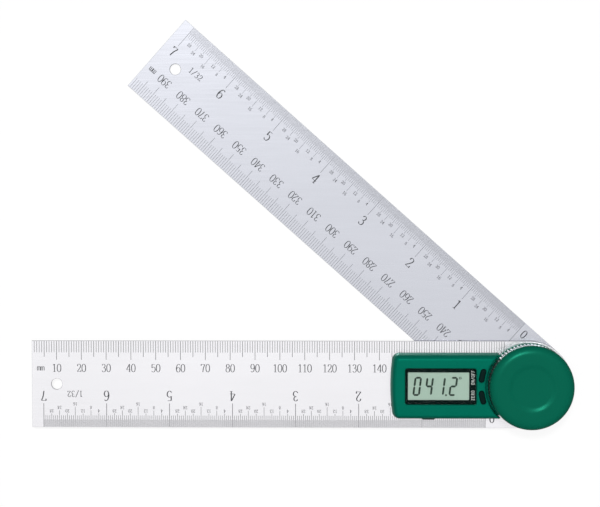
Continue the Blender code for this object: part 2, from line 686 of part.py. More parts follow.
def pivot_stud():
    shoulder = STUD_HEAD_RADIUS - STUD_HEAD_DEPTH
    profile = [(0.0, STUD_TOP_Z), (STUD_RADIUS - STUD_CHAMFER, STUD_TOP_Z),
               (STUD_RADIUS, STUD_TOP_Z - STUD_CHAMFER), (STUD_RADIUS, STUD_HEAD_DEPTH),
               (shoulder, STUD_HEAD_DEPTH), (STUD_HEAD_RADIUS, 0.0), (0.0, 0.0)]
    item = turned("pivot_stud", profile, ROUND_SIDES, SPRING_STEEL, SWING_AXIS)
    reach = STUD_HEAD_RADIUS
    for side, name in ((1.0, "upper"), (-1.0, "lower")):
        near = side * STUD_FLAT_DISTANCE
        far = side * (STUD_FLAT_DISTANCE + STUD_RADIUS)
        flat = box("pivot_stud_flat_" + name, -reach, reach, min(near, far), max(near, far),
                   STUD_HEAD_DEPTH, CLAMP_TOP_Z + KNOB_LIFT + SIDE_GAP, parent=SWING_AXIS)
        cut(item, flat)
    tapped = rod("pivot_stud_tapped_hole", STOP_SHANK_RADIUS + STACK_GAP,
                 STUD_TOP_Z - STOP_SHANK_LENGTH, STUD_TOP_Z + CUT_OVERRUN, SMALL_SIDES,
                 parent=SWING_AXIS)
    cut(item, tapped)
    return item


def glide_washer():
    loops = [circle(GLIDE_RADIUS, ROUND_SIDES), circle(BUSH_RADIUS, ROUND_SIDES)]
    return plate("glide_washer", loops, GLIDE_BACK_Z, GLIDE_FRONT_Z, WHITE_PLASTIC)


def pivot_bush():
    profile = [(BUSH_BORE_RADIUS, BUSH_TOP_Z), (BUSH_FLANGE_RADIUS, BUSH_TOP_Z),
               (BUSH_FLANGE_RADIUS, SEAT_Z), (BUSH_RADIUS, SEAT_Z), (BUSH_RADIUS, BASE_BACK_Z),
               (BUSH_BORE_RADIUS, BASE_BACK_Z)]
    return turned("pivot_bush", profile, ROUND_SIDES, BRASS, closed=True)


# Angle sensor

def sensor_board():
    """A ring round the pivot, with a neck that reaches under the display housing."""
    side = math.asin(SENSOR_NECK_HALF_WIDTH / SENSOR_BOARD_RADIUS)
    outline = arc(0.0, 0.0, SENSOR_BOARD_RADIUS, side - math.pi, math.pi - side, ROUND_SIDES)
    outline += [(-SENSOR_NECK_REACH, SENSOR_NECK_HALF_WIDTH),
                (-SENSOR_NECK_REACH, -SENSOR_NECK_HALF_WIDTH)]
    return plate("sensor_board", [outline, circle(SENSOR_BORE_RADIUS, ROUND_SIDES)], SEAT_Z,
                 SENSOR_TOP_Z, BOARD_GREEN)


def rotor_hub():
    flange = ROTOR_HUB_NECK_RADIUS + ROTOR_HUB_FLANGE_WIDTH
    profile = [(0.0, HUB_TOP_Z), (ROTOR_HUB_NECK_RADIUS, HUB_TOP_Z),
               (ROTOR_HUB_NECK_RADIUS, HUB_FLANGE_TOP_Z), (flange, HUB_FLANGE_TOP_Z),
               (flange, HUB_BOTTOM_Z), (0.0, HUB_BOTTOM_Z)]
    item = turned("rotor_hub", profile, ROUND_SIDES, BRASS, SWING_AXIS)
    key = plate("rotor_hub_key", [double_d(STUD_KEY_RADIUS, STUD_KEY_FLAT)],
                HUB_BOTTOM_Z - CUT_OVERRUN, HUB_TOP_Z + CUT_OVERRUN, parent=SWING_AXIS)
    cut(item, key)
    return item


def rotor_disc():
    loops = [circle(ROTOR_RADIUS, ROUND_SIDES),
             circle(ROTOR_HUB_NECK_RADIUS + STACK_GAP, ROUND_SIDES)]
    return plate("rotor_disc", loops, ROTOR_BOTTOM_Z, ROTOR_TOP_Z, BOARD_GREEN, SWING_AXIS)


# Clamp stack

def wave_spring():
    """A thin ring that rises and falls three times on its way round."""
    inner = STUD_RADIUS + 2.0 * SIDE_GAP
    amplitude = (SPRING_HEIGHT - SPRING_THICKNESS) / 2.0
    middle_z = (SPRING_BOTTOM_Z + SPRING_TOP_Z) / 2.0
    shell = bmesh.new()
    bmesh.ops.create_circle(shell, cap_ends=False, radius=inner, segments=ROUND_SIDES)
    bmesh.ops.create_circle(shell, cap_ends=False, radius=inner + SPRING_WIDTH, segments=ROUND_SIDES)
    bmesh.ops.bridge_loops(shell, edges=shell.edges)
    for vertex in shell.verts:
        angle = math.atan2(vertex.co.y, vertex.co.x)
        vertex.co.z = middle_z + amplitude * math.cos(SPRING_WAVES * angle)
    bmesh.ops.recalc_face_normals(shell, faces=shell.faces)
    mesh = bpy.data.meshes.new("wave_spring")
    shell.to_mesh(mesh)
    shell.free()
    shade_round(mesh)
    item = place("wave_spring", mesh, SPRING_STEEL, SWING_AXIS)
    solid = item.modifiers.new("thickness", "SOLIDIFY")
    solid.thickness = SPRING_THICKNESS
    solid.offset = 0.0
    return item


def clamp_washer():
    loops = [circle(CLAMP_RADIUS, ROUND_SIDES), double_d(STUD_KEY_RADIUS, STUD_KEY_FLAT)]
    return plate("clamp_washer", loops, 0.0, CLAMP_THICKNESS, SCREW_STEEL, LIFT_AXIS)


def stop_washer():
    loops = [circle(STOP_WASHER_RADIUS, ROUND_SIDES),
             circle(STOP_SHANK_RADIUS + STACK_GAP, SMALL_SIDES)]
    return plate("stop_washer", loops, STOP_WASHER_Z, STOP_WASHER_TOP_Z, SCREW_STEEL, SWING_AXIS)


def stop_screw():
    rim = STOP_HEAD_TOP_Z - SCREW_SLOT_DEPTH
    shank_end = STUD_TOP_Z - STOP_SHANK_LENGTH + CUT_OVERRUN
    profile = [(0.0, STOP_HEAD_TOP_Z), (STOP_HEAD_RADIUS - SCREW_SLOT_WIDTH, STOP_HEAD_TOP_Z),
               (STOP_HEAD_RADIUS, rim), (STOP_HEAD_RADIUS, STOP_HEAD_Z),
               (STOP_SHANK_RADIUS, STOP_HEAD_Z), (STOP_SHANK_RADIUS, shank_end), (0.0, shank_end)]
    item = turned("stop_screw", profile, SMALL_SIDES, SCREW_STEEL, SWING_AXIS)
    cut(item, *cross_slot("stop_screw_drive", (0.0, 0.0), STOP_HEAD_TOP_Z + CUT_OVERRUN,
                          STOP_HEAD_TOP_Z - SCREW_SLOT_DEPTH, STOP_SHANK_RADIUS, SWING_AXIS))
    return item


# Lock knob: heights from the underside of its web, which is on its axis

def knob_nut():
    """Knurled drum, hollow below for the collar and above for the cap, with a threaded web."""
    bottom = NUT_BOTTOM_Z - WEB_BOTTOM_Z
    top = NUT_TOP_Z - WEB_BOTTOM_Z
    root = KNOB_RADIUS - KNURL_DEPTH
    smooth = knurl_outline(root, 0.0)
    knurled = knurl_outline(KNOB_RADIUS, KNURL_DEPTH)
    item = loft("knob_nut", [(bottom, smooth), (bottom + KNURL_CHAMFER, knurled),
                             (top - KNURL_CHAMFER, knurled), (top, smooth)], PLATED_BRASS, KNOB_AXIS)
    skirt = rod("knob_nut_skirt", KNOB_SKIRT_RADIUS, bottom - CUT_OVERRUN, 0.0, ROUND_SIDES,
                parent=KNOB_AXIS)
    thread = rod("knob_nut_thread", STUD_RADIUS + STACK_GAP, -CUT_OVERRUN,
                 KNOB_WEB_THICKNESS + CUT_OVERRUN, ROUND_SIDES, parent=KNOB_AXIS)
    recess = rod("knob_nut_recess", KNOB_RECESS_RADIUS, KNOB_WEB_THICKNESS, top + CUT_OVERRUN,
                 ROUND_SIDES, parent=KNOB_AXIS)
    cut(item, skirt, thread, recess)
    return item


def knob_cap():
    """Shallow dish in the top, a wide round at the edge, and a plug that seats in the nut."""
    top = KNOB_TOP_Z - WEB_BOTTOM_Z
    edge = CAP_EDGE_Z - WEB_BOTTOM_Z
    ceiling = CAP_CEILING_Z - WEB_BOTTOM_Z
    plug_end = CAP_PLUG_Z - WEB_BOTTOM_Z
    plug = KNOB_RECESS_RADIUS - STACK_GAP
    floor = DISH_RADIUS - DISH_SLOPE_WIDTH
    profile = [(0.0, top - DISH_DEPTH), (floor, top - DISH_DEPTH)]
    slope_steps = 4
    for index in range(1, slope_steps):
        share = index / slope_steps
        rise = DISH_DEPTH * (1.0 - math.cos(math.pi * share)) / 2.0
        profile.append((floor + DISH_SLOPE_WIDTH * share, top - DISH_DEPTH + rise))
    profile.append((DISH_RADIUS, top))
    round_height = CAP_EDGE_HEIGHT - CAP_EDGE_LAND
    for inset, drop in reversed(round_steps(CAP_ROUND_WIDTH, round_height, 5)):
        profile.append((KNOB_RADIUS - inset, top - drop))
    profile += [(KNOB_RADIUS, edge), (plug, edge), (plug, plug_end), (plug - CAP_PLUG_WALL, plug_end),
                (plug - CAP_PLUG_WALL, ceiling), (0.0, ceiling)]
    return turned("knob_cap", profile, FINE_SIDES, GREEN_PLASTIC, KNOB_AXIS)


# Housing

def housing_body():
    """Drafted walls and a rounded upper edge, built as outlines that draw in as they rise."""
    shoulder = HOUSING_TOP_Z - HOUSING_ROUND
    sections = [(SEAT_Z, housing_outline(0.0, 0.0))]
    for inset, drop in round_steps(HOUSING_ROUND, HOUSING_ROUND, 5):
        arc_inset = inset * GROOVE_ROUND / HOUSING_ROUND
        height = HOUSING_TOP_Z - drop
        sections.append((max(height, shoulder), housing_outline(HOUSING_DRAFT + inset, arc_inset)))
    return loft("housing", sections, GREEN_PLASTIC)


def housing_collar():
    """Flange on the base rule, and the tower over the rotor, as one hollow ring."""
    profile = [(TOWER_BORE_RADIUS, TOWER_TOP_Z), (TOWER_RADIUS - TOWER_ROUND, TOWER_TOP_Z),
               (TOWER_RADIUS, TOWER_TOP_Z - TOWER_ROUND), (TOWER_RADIUS, COLLAR_TOP_Z),
               (COLLAR_RADIUS, COLLAR_TOP_Z), (COLLAR_RADIUS, SEAT_Z), (TOWER_INNER_RADIUS, SEAT_Z),
               (TOWER_INNER_RADIUS, TOWER_CEILING_Z), (TOWER_BORE_RADIUS, TOWER_CEILING_Z)]
    return turned("housing_collar", profile, FINE_SIDES, closed=True)


def housing_bridge():
    """Floor of the groove, which joins the collar to the display housing."""
    half_width = HOUSING_HALF_WIDTH - TIP_RADIUS
    bottom = SEAT_Z + STACK_GAP
    top = COLLAR_TOP_Z - STACK_GAP
    item = box("housing_bridge", -CAVITY_ARC_RADIUS - CUT_OVERRUN, -HUB_RADIUS / 2.0, -half_width,
               half_width, bottom, top)
    cut(item, rod("housing_bridge_hollow", TOWER_RADIUS, bottom - CUT_OVERRUN, top + CUT_OVERRUN,
                  ROUND_SIDES))
    return item


def boss(name, centre, radius, bottom):
    return rod(name, radius, bottom, CAVITY_TOP_Z + STACK_GAP, SMALL_SIDES, centre=centre)


def tray_slot():
    half_width = TRAY_WIDTH / 2.0 + SIDE_GAP
    return box("housing_tray_slot", TRAY_CENTRE_X - half_width, TRAY_CENTRE_X + half_width,
               -HOUSING_HALF_WIDTH - CUT_OVERRUN, -HOUSING_HALF_WIDTH / 2.0, SEAT_Z - CUT_OVERRUN,
               CELL_TOP_Z + STACK_GAP)


BUTTON_SIDES = {"button_on_off": 1.0, "button_zero": -1.0}


def button_middle(side):
    return math.pi - side * BUTTON_MIDDLE_ANGLE


def housing():
    item = housing_body()
    join(item, housing_bridge(), housing_collar())
    neck = SENSOR_NECK_HALF_WIDTH + SIDE_GAP
    cut(item, box("housing_neck_slot", -CAVITY_ARC_RADIUS - CUT_OVERRUN, 0.0, -neck, neck,
                  SEAT_Z - CUT_OVERRUN, SENSOR_TOP_Z + STACK_GAP))
    cavity = plate("housing_cavity",
                   [housing_outline(HOUSING_WALL + HOUSING_DRAFT, CAVITY_ARC_RADIUS - GROOVE_RADIUS)],
                   SEAT_Z - CUT_OVERRUN, CAVITY_TOP_Z)
    cut(item, cavity)
    for name, centre in SCREW_PLACES.items():
        join(item, boss(name + "_boss", centre, BOSS_RADIUS, SEAT_Z))
    for name, centre in BOARD_SCREW_PLACES.items():
        join(item, boss(name + "_boss", centre, BOARD_BOSS_RADIUS, BOARD_TOP_Z + STACK_GAP))
    for name, centre in SCREW_PLACES.items():
        cut(item, rod(name + "_pilot", SCREW_RADIUS + STACK_GAP, SEAT_Z - CUT_OVERRUN,
                      BASE_BACK_Z + SCREW_REACH + SIDE_GAP, SMALL_SIDES, centre=centre))
    for name, centre in BOARD_SCREW_PLACES.items():
        cut(item, rod(name + "_pilot", BOARD_SCREW_RADIUS + STACK_GAP, BOARD_TOP_Z,
                      BOARD_BOTTOM_Z + BOARD_SCREW_LENGTH, SMALL_SIDES, centre=centre))
    seat = plate("housing_window_seat",
                 [rounded_box(WINDOW_LEFT_X - STACK_GAP, WINDOW_RIGHT_X + STACK_GAP,
                              -WINDOW_HALF_HEIGHT - STACK_GAP, WINDOW_HALF_HEIGHT + STACK_GAP,
                              WINDOW_CORNER + STACK_GAP)],
                 WINDOW_BOTTOM_Z - STACK_GAP, HOUSING_TOP_Z + CUT_OVERRUN)
    opening = box("housing_lcd_opening", LCD_LEFT_X - SIDE_GAP, LCD_RIGHT_X + SIDE_GAP,
                  -LCD_HALF_HEIGHT - SIDE_GAP, LCD_HALF_HEIGHT + SIDE_GAP,
                  CAVITY_TOP_Z - CUT_OVERRUN, HOUSING_TOP_Z)
    cut(item, seat, opening, tray_slot())
    for name, side in BUTTON_SIDES.items():
        outline = kidney(BUTTON_INNER_RADIUS - STACK_GAP, BUTTON_OUTER_RADIUS + STACK_GAP,
                         button_middle(side), BUTTON_HALF_ANGLE)
        cut(item, plate(name + "_hole", [outline], CAVITY_TOP_Z - CUT_OVERRUN,
                        HOUSING_TOP_Z + CUT_OVERRUN))
    return item


# Display and boards

def display_window():
    outline = rounded_box(WINDOW_LEFT_X, WINDOW_RIGHT_X, -WINDOW_HALF_HEIGHT, WINDOW_HALF_HEIGHT,
                          WINDOW_CORNER)
    item = plate("display_window", [outline], WINDOW_BOTTOM_Z, WINDOW_TOP_Z, WINDOW_PLASTIC)
    break_edges(item, WINDOW_EDGE_BREAK)
    return item


def lcd_panel():
    return box("lcd_panel", LCD_LEFT_X, LCD_RIGHT_X, -LCD_HALF_HEIGHT, LCD_HALF_HEIGHT,
               LCD_BOTTOM_Z, LCD_TOP_Z, LCD_GLASS)


def lcd_frame():
    """A rim round the display's contact strips."""
    left = LCD_LEFT_X - FRAME_RIM
    right = LCD_RIGHT_X + FRAME_RIM / 2.0
    outer = rounded_box(left, right, -LCD_HALF_HEIGHT - FRAME_RIM, LCD_HALF_HEIGHT + FRAME_RIM,
                        FRAME_RIM / 2.0)
    inner = sharp_box(LCD_LEFT_X, LCD_RIGHT_X - FRAME_RIM, -LCD_HALF_HEIGHT, LCD_HALF_HEIGHT)
    return plate("lcd_frame", [outer, inner], ZEBRA_BOTTOM_Z, ZEBRA_TOP_Z, BLACK_PLASTIC)


def zebra_strips():
    for name, side in (("zebra_strip_upper", 1.0), ("zebra_strip_lower", -1.0)):
        far = side * (LCD_HALF_HEIGHT - STACK_GAP)
        near = side * (LCD_HALF_HEIGHT - STACK_GAP - ZEBRA_WIDTH)
        box(name, LCD_LEFT_X + ZEBRA_END_INSET, LCD_RIGHT_X - FRAME_RIM - ZEBRA_END_INSET,
            min(near, far), max(near, far), ZEBRA_BOTTOM_Z, ZEBRA_TOP_Z, ZEBRA_RUBBER)


def circuit_board():
    """A long board whose end follows the arc of the housing's groove."""
    end_radius = CAVITY_ARC_RADIUS + SIDE_GAP
    side = math.asin(BOARD_HALF_WIDTH / end_radius)
    outline = [(BOARD_LEFT_X, BOARD_HALF_WIDTH), (BOARD_LEFT_X, -BOARD_HALF_WIDTH)]
    outline += arc(0.0, 0.0, end_radius, side - math.pi, -side - math.pi, 12)
    loops = [outline]
    for centre in BOARD_SCREW_PLACES.values():
        loops.append(circle(BOARD_SCREW_RADIUS + STACK_GAP, SMALL_SIDES // 2, *centre))
    return plate("circuit_board", loops, BOARD_BOTTOM_Z, BOARD_TOP_Z, BOARD_GREEN)


def board_parts():
    half_side = CHIP_SIDE / 2.0
    chip_top = BOARD_BOTTOM_Z - STACK_GAP
    box("controller_chip", CHIP_CENTRE_X - half_side, CHIP_CENTRE_X + half_side, -half_side,
        half_side, chip_top - CHIP_THICKNESS, chip_top, BLACK_PLASTIC)
    link_left = -SENSOR_NECK_REACH + STACK_GAP
    box("board_link", link_left, link_left + LINK_LENGTH, -LINK_HALF_WIDTH, LINK_HALF_WIDTH,
        SENSOR_TOP_Z + STACK_GAP, BOARD_BOTTOM_Z - STACK_GAP, BLACK_PLASTIC)
    middle_radius = (BUTTON_INNER_RADIUS + BUTTON_OUTER_RADIUS) / 2.0
    for name, side in BUTTON_SIDES.items():
        middle = button_middle(side)
        centre = (middle_radius * math.cos(middle), middle_radius * math.sin(middle))
        rod(name.replace("button", "switch_dome"), DOME_RADIUS, DOME_BOTTOM_Z, DOME_TOP_Z,
            SMALL_SIDES, centre=centre, finish=SPRING_STEEL, tip=DOME_RADIUS / 2.0)


def board_screws():
    for name, (x, y) in BOARD_SCREW_PLACES.items():
        head_top = BOARD_BOTTOM_Z - STACK_GAP
        head_bottom = head_top - BOARD_SCREW_HEAD_HEIGHT
        shank_top = BOARD_BOTTOM_Z + BOARD_SCREW_LENGTH - STACK_GAP
        profile = [(0.0, shank_top), (BOARD_SCREW_RADIUS, shank_top), (BOARD_SCREW_RADIUS, head_top),
                   (BOARD_SCREW_HEAD_RADIUS, head_top), (BOARD_SCREW_HEAD_RADIUS, head_bottom),
                   (0.0, head_bottom)]
        turned(name, profile, SMALL_SIDES // 2, SCREW_STEEL, centre=(x, y))


def housing_screws():
    """Countersunk screws whose heads are flush with the base rule's back."""
    for name, (x, y) in SCREW_PLACES.items():
        tip = BASE_BACK_Z + SCREW_REACH
        cone_top = BASE_BACK_Z + SCREW_HEAD_DEPTH
        profile = [(0.0, tip), (SCREW_RADIUS, tip), (SCREW_RADIUS, cone_top),
                   (SCREW_HEAD_RADIUS, BASE_BACK_Z), (0.0, BASE_BACK_Z)]
        item = turned(name, profile, SMALL_SIDES, SCREW_STEEL, centre=(x, y))
        cut(item, *cross_slot(name + "_drive", (x, y), BASE_BACK_Z + SCREW_SLOT_DEPTH,
                              BASE_BACK_Z - CUT_OVERRUN, SCREW_RADIUS))


# Buttons

def buttons():
    """Kidney caps with a shoulder under the roof, each drawn about its own slide axis."""
    for name, side in BUTTON_SIDES.items():
        middle = button_middle(side)
        middle_radius = (BUTTON_INNER_RADIUS + BUTTON_OUTER_RADIUS) / 2.0
        axis_x = middle_radius * math.cos(middle)
        axis_y = middle_radius * math.sin(middle)
        axis = new_empty(name + "_axis", (axis_x, axis_y, BUTTON_BOTTOM_Z))

        def section(height, grow):
            outline = kidney(BUTTON_INNER_RADIUS - grow, BUTTON_OUTER_RADIUS + grow, middle,
                             BUTTON_HALF_ANGLE)
            return height - BUTTON_BOTTOM_Z, [(x - axis_x, y - axis_y) for x, y in outline]

        sections = [section(BUTTON_BOTTOM_Z, BUTTON_FLANGE_LIP),
                    section(BUTTON_SHOULDER_Z, BUTTON_FLANGE_LIP),
                    section(BUTTON_SHOULDER_Z, 0.0)]
        for inset, drop in round_steps(BUTTON_ROUND, BUTTON_ROUND, 3):
            sections.append(section(BUTTON_TOP_Z - drop, -inset))
        loft(name, sections, RUBBER, axis)


# Battery: the tray and its cell are drawn about the tray's slide axis

def battery_tray():
    half_width = TRAY_WIDTH / 2.0
    front = TRAY_FRONT_SETBACK
    back = TRAY_BACK_Y + HOUSING_HALF_WIDTH
    height = CELL_TOP_Z - TRAY_BOTTOM_Z
    item = plate("battery_tray", [sharp_box(-half_width, half_width, front, back)], 0.0, height,
                 BLACK_PLASTIC, TRAY_AXIS)
    lip_radius = ((LIP_WIDTH / 2.0) ** 2 + LIP_REACH ** 2) / (2.0 * LIP_REACH)
    lip_rise = (CELL_BOTTOM_Z - TRAY_BOTTOM_Z) / 2.0
    lip = rod("battery_tray_lip", lip_radius, lip_rise, height - lip_rise, FINE_SIDES,
              centre=(0.0, lip_radius - LIP_REACH), parent=TRAY_AXIS)
    pocket = rod("battery_tray_pocket", CELL_RADIUS + STACK_GAP, TRAY_FLOOR, height + CUT_OVERRUN,
                 ROUND_SIDES, centre=(0.0, CELL_CENTRE_Y + HOUSING_HALF_WIDTH), parent=TRAY_AXIS)
    join(item, lip)
    cut(item, pocket)
    return item


def coin_cell():
    """A can with a smaller upper face inside its rim."""
    bottom = CELL_BOTTOM_Z - TRAY_BOTTOM_Z
    top = bottom + CELL_THICKNESS
    rim = CELL_RADIUS - 2.0 * CELL_STEP
    profile = [(0.0, top), (rim, top), (rim, top - CELL_STEP), (CELL_RADIUS, top - CELL_STEP),
               (CELL_RADIUS, bottom + CELL_STEP), (CELL_RADIUS - CELL_STEP, bottom), (0.0, bottom)]
    return turned("coin_cell", profile, ROUND_SIDES, CELL_STEEL, TRAY_AXIS,
                  centre=(0.0, CELL_CENTRE_Y + HOUSING_HALF_WIDTH))


def battery_cradle():
    """A frame on the base rule, open at the tray's mouth, that guides the tray."""
    inner = CRADLE_INNER
    outer = CRADLE_OUTER
    mouth = -HOUSING_HALF_WIDTH + HOUSING_WALL + HOUSING_DRAFT + SIDE_GAP
    back = CELL_CENTRE_Y + CELL_RADIUS + 3.0 * STACK_GAP + CONTACT_THICKNESS
    outline = [(-outer, mouth), (-inner, mouth), (-inner, back), (inner, back), (inner, mouth),
               (outer, mouth), (outer, back + CRADLE_WALL), (-outer, back + CRADLE_WALL)]
    outline = [(TRAY_CENTRE_X + x, y) for x, y in outline]
    return plate("battery_cradle", [outline], SEAT_Z, CELL_TOP_Z, BLACK_PLASTIC)


def contacts():
    """A leaf over the cell's upper face, and an angle against its rim, both under the board."""
    half_width = CONTACT_WIDTH / 2.0
    leaf_end = CELL_CENTRE_Y - CONTACT_LEAF_LENGTH / 2.0
    leaf = rounded_box(TRAY_CENTRE_X - half_width / 2.0, TRAY_CENTRE_X + half_width / 2.0, leaf_end,
                       leaf_end + CONTACT_LEAF_LENGTH, half_width / 4.0)
    plate("contact_negative", [leaf], CONTACT_BOTTOM_Z, CONTACT_TOP_Z, SPRING_STEEL)
    rim_y = CELL_CENTRE_Y + CELL_RADIUS + STACK_GAP
    low = CELL_BOTTOM_Z + STACK_GAP
    angle = [(rim_y, low), (rim_y + CONTACT_THICKNESS, low),
             (rim_y + CONTACT_THICKNESS, CONTACT_BOTTOM_Z), (rim_y + CONTACT_FOOT, CONTACT_BOTTOM_Z),
             (rim_y + CONTACT_FOOT, CONTACT_TOP_Z), (rim_y, CONTACT_TOP_Z)]
    mesh = plate_mesh("contact_positive", [angle], -half_width, half_width)
    upright = Matrix(((0.0, 0.0, 1.0, TRAY_CENTRE_X), (1.0, 0.0, 0.0, 0.0), (0.0, 1.0, 0.0, 0.0),
                      (0.0, 0.0, 0.0, 1.0)))
    mesh.transform(upright)
    place("contact_positive", mesh, SPRING_STEEL)


def build():
    base_rule()
    glide_washer()
    pivot_bush()
    swing_rule()
    pivot_stud()
    sensor_board()
    rotor_hub()
    rotor_disc()
    wave_spring()
    clamp_washer()
    stop_washer()
    stop_screw()
    knob_nut()
    knob_cap()
    housing()
    housing_screws()
    display_window()
    lcd_panel()
    lcd_frame()
    zebra_strips()
    circuit_board()
    board_parts()
    board_screws()
    buttons()
    battery_tray()
    coin_cell()
    battery_cradle()
    contacts()
    bpy.context.view_layer.update()


build()
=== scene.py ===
# %% [markdown]
# # An angle finder with arms
# Two steel rules turn on one pivot. A green housing on the lower rule holds a small display and
# two buttons, and a round knob on the pivot locks the upper rule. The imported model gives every
# piece its place, so this lesson only dresses it: finer surfaces, scales, numerals and finishes.
# Everything below is in millimetres, and becomes metres where a mesh is made.

# %% Load the frame
import math

import bmesh
import bpy
import numpy as np
from mathutils import Matrix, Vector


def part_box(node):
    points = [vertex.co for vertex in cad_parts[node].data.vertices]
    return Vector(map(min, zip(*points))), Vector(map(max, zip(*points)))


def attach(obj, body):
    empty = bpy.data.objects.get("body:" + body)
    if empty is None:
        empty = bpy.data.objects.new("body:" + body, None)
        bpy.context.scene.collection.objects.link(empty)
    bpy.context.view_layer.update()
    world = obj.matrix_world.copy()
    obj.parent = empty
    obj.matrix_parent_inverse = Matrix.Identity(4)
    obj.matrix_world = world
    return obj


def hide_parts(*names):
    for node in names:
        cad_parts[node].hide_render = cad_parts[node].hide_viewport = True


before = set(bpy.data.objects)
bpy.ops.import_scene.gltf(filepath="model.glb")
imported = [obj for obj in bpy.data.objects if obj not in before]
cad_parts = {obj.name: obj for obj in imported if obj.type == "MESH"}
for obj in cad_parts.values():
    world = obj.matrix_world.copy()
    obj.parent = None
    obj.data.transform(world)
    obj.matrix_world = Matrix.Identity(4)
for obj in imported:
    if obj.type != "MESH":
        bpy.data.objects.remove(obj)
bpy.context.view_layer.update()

MM = 0.001

# %% [markdown]
# ## Where the pieces are
# The lesson asks the frame for each node's box and builds the finer piece in the same place.

# %% Boxes in millimetres
def corners(node):
    """Lowest and highest corner of a node's box, in millimetres."""
    low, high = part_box(node)
    return np.array(low) / MM, np.array(high) / MM


base_low, base_high = corners("base_rule")
swing_low, swing_high = corners("swing_rule")
seat_low, roof_high = corners("housing")
knob_low, knob_high = corners("knob_nut")
cap_top = corners("knob_cap")[1][2]
rule_length = -base_low[0]
rule_half = base_high[1]
knob_radius = knob_high[0]
ARM_ANGLE = math.radians(41.7)
print("rule", round(rule_length, 2), "long, knob radius", round(knob_radius, 2))

# %% [markdown]
# ## Surfaces from arrays
# Every new piece is a grid of points, worked out with whole arrays. One axis of the grid runs
# along a path, the other round a profile. A grid that wraps is a tube, and flat ends close it.
# Points that fall together, as at the pole of a turned piece, are merged, and the faces are
# then turned outwards.

# %% Grids and meshes
def arc(radius, start, end, steps, x=0.0, y=0.0):
    """Points (x + radius cos t, y + radius sin t), with t in even steps from start to end."""
    turn = np.linspace(start, end, steps + 1)
    return np.column_stack([x + radius * np.cos(turn), y + radius * np.sin(turn)])


def surface(grid, loop=False, ends=True):
    """A grid of points, (rows, columns, 3), as vertices and faces.

    Columns wrap round. Rows wrap too where loop is true, and otherwise flat faces close the ends.
    """
    rows, columns = grid.shape[:2]
    row = np.arange(rows if loop else rows - 1)[:, None]
    column = np.arange(columns)[None, :]
    after, beside = (row + 1) % rows, (column + 1) % columns
    quads = np.stack([row * columns + column, after * columns + column,
                      after * columns + beside, row * columns + beside], axis=-1)
    faces = quads.reshape(-1, 4).tolist()
    if ends and not loop:
        faces.append(list(range(columns)))
        faces.append(list(range((rows - 1) * columns, rows * columns)))
    return grid.reshape(-1, 3), faces


def lift(outline, height):
    """A flat outline, (n, 2), at one height."""
    return np.column_stack([outline, np.full(len(outline), height)])


def loft(sections):
    """Outlines of equal length stacked by height: row i is outline i at height i."""
    return surface(np.stack([lift(outline, height) for height, outline in sections]))


def prism(outline, bottom, top):
    """One outline, carried straight up."""
    return loft([(bottom, outline), (top, outline)])


def block(left, right, front, back, bottom, top):
    """A plain box."""
    outline = np.array([(left, front), (right, front), (right, back), (left, back)])
    return prism(outline, bottom, top)


def ring_grid(reach, height, turn, centre=(0.0, 0.0)):
    """Points (x + reach cos t, y + reach sin t, height): rows go by height, columns by t."""
    return np.stack([centre[0] + reach * np.cos(turn), centre[1] + reach * np.sin(turn),
                     np.repeat(height[:, None], len(turn), axis=1)], axis=-1)


def turned(profile, sides, centre=(0.0, 0.0), closed=False):
    """A profile of (radius, height) carried round a vertical axis.

    The first t is a little off zero, so that no corner of a cutter falls on a corner of what
    it cuts.
    """
    radius, height = np.array(profile, float).T
    turn = (np.arange(sides) + 0.37) * 2.0 * np.pi / sides
    return surface(ring_grid(radius[:, None], height, turn, centre), loop=closed, ends=False)


def rod(radius, bottom, top, sides, centre=(0.0, 0.0)):
    """A round rod, for bores and bosses."""
    return turned([(0.0, bottom), (radius, bottom), (radius, top), (0.0, top)], sides, centre)


def mesh_object(name, shapes, turn=0.0):
    """One object from several shapes, in metres, turned about the pivot, merged, faces out."""
    matrix = np.array([[math.cos(turn), -math.sin(turn), 0.0],
                       [math.sin(turn), math.cos(turn), 0.0], [0.0, 0.0, 1.0]])
    points, faces, start = [], [], 0
    for vertices, shape_faces in shapes:
        points.append(vertices @ matrix.T)
        faces += [[corner + start for corner in face] for face in shape_faces]
        start += len(vertices)
    mesh = bpy.data.meshes.new(name)
    mesh.from_pydata((np.concatenate(points) * MM).tolist(), [], faces)
    bench = bmesh.new()
    bench.from_mesh(mesh)
    bmesh.ops.remove_doubles(bench, verts=bench.verts, dist=0.0005 * MM)
    bmesh.ops.recalc_face_normals(bench, faces=bench.faces)
    bench.to_mesh(mesh)
    bench.free()
    item = bpy.data.objects.new(name, mesh)
    bpy.context.scene.collection.objects.link(item)
    return item


# %% [markdown]
# ## Cutting and finishing
# Holes, seats and slots are cut with Blender's exact Boolean, and the result is kept as the
# piece's own mesh. A piece is then smoothed across soft edges, rides on its body, and hides the
# node it stands for. Plain smoothing would tilt the light on a large flat face beside a rounded
# edge, so the normals are weighted by the area of the faces.

# %% Cut, join and hand over
def work(item, kind, **settings):
    """Adds a modifier, and keeps its result as the item's own mesh."""
    modifier = item.modifiers.new("work", kind)
    for key, value in settings.items():
        setattr(modifier, key, value)
    bpy.context.view_layer.update()
    graph = bpy.context.evaluated_depsgraph_get()
    made = bpy.data.meshes.new_from_object(item.evaluated_get(graph))
    item.modifiers.clear()
    item.data = made


def combine(item, *shapes, operation="DIFFERENCE", turn=0.0):
    """Cuts each shape out of an item in turn, or joins it on with UNION."""
    for shape in shapes:
        tool = mesh_object(item.name + "_tool", [shape], turn)
        work(item, "BOOLEAN", solver="EXACT", operation=operation, object=tool)
        bpy.data.objects.remove(tool)


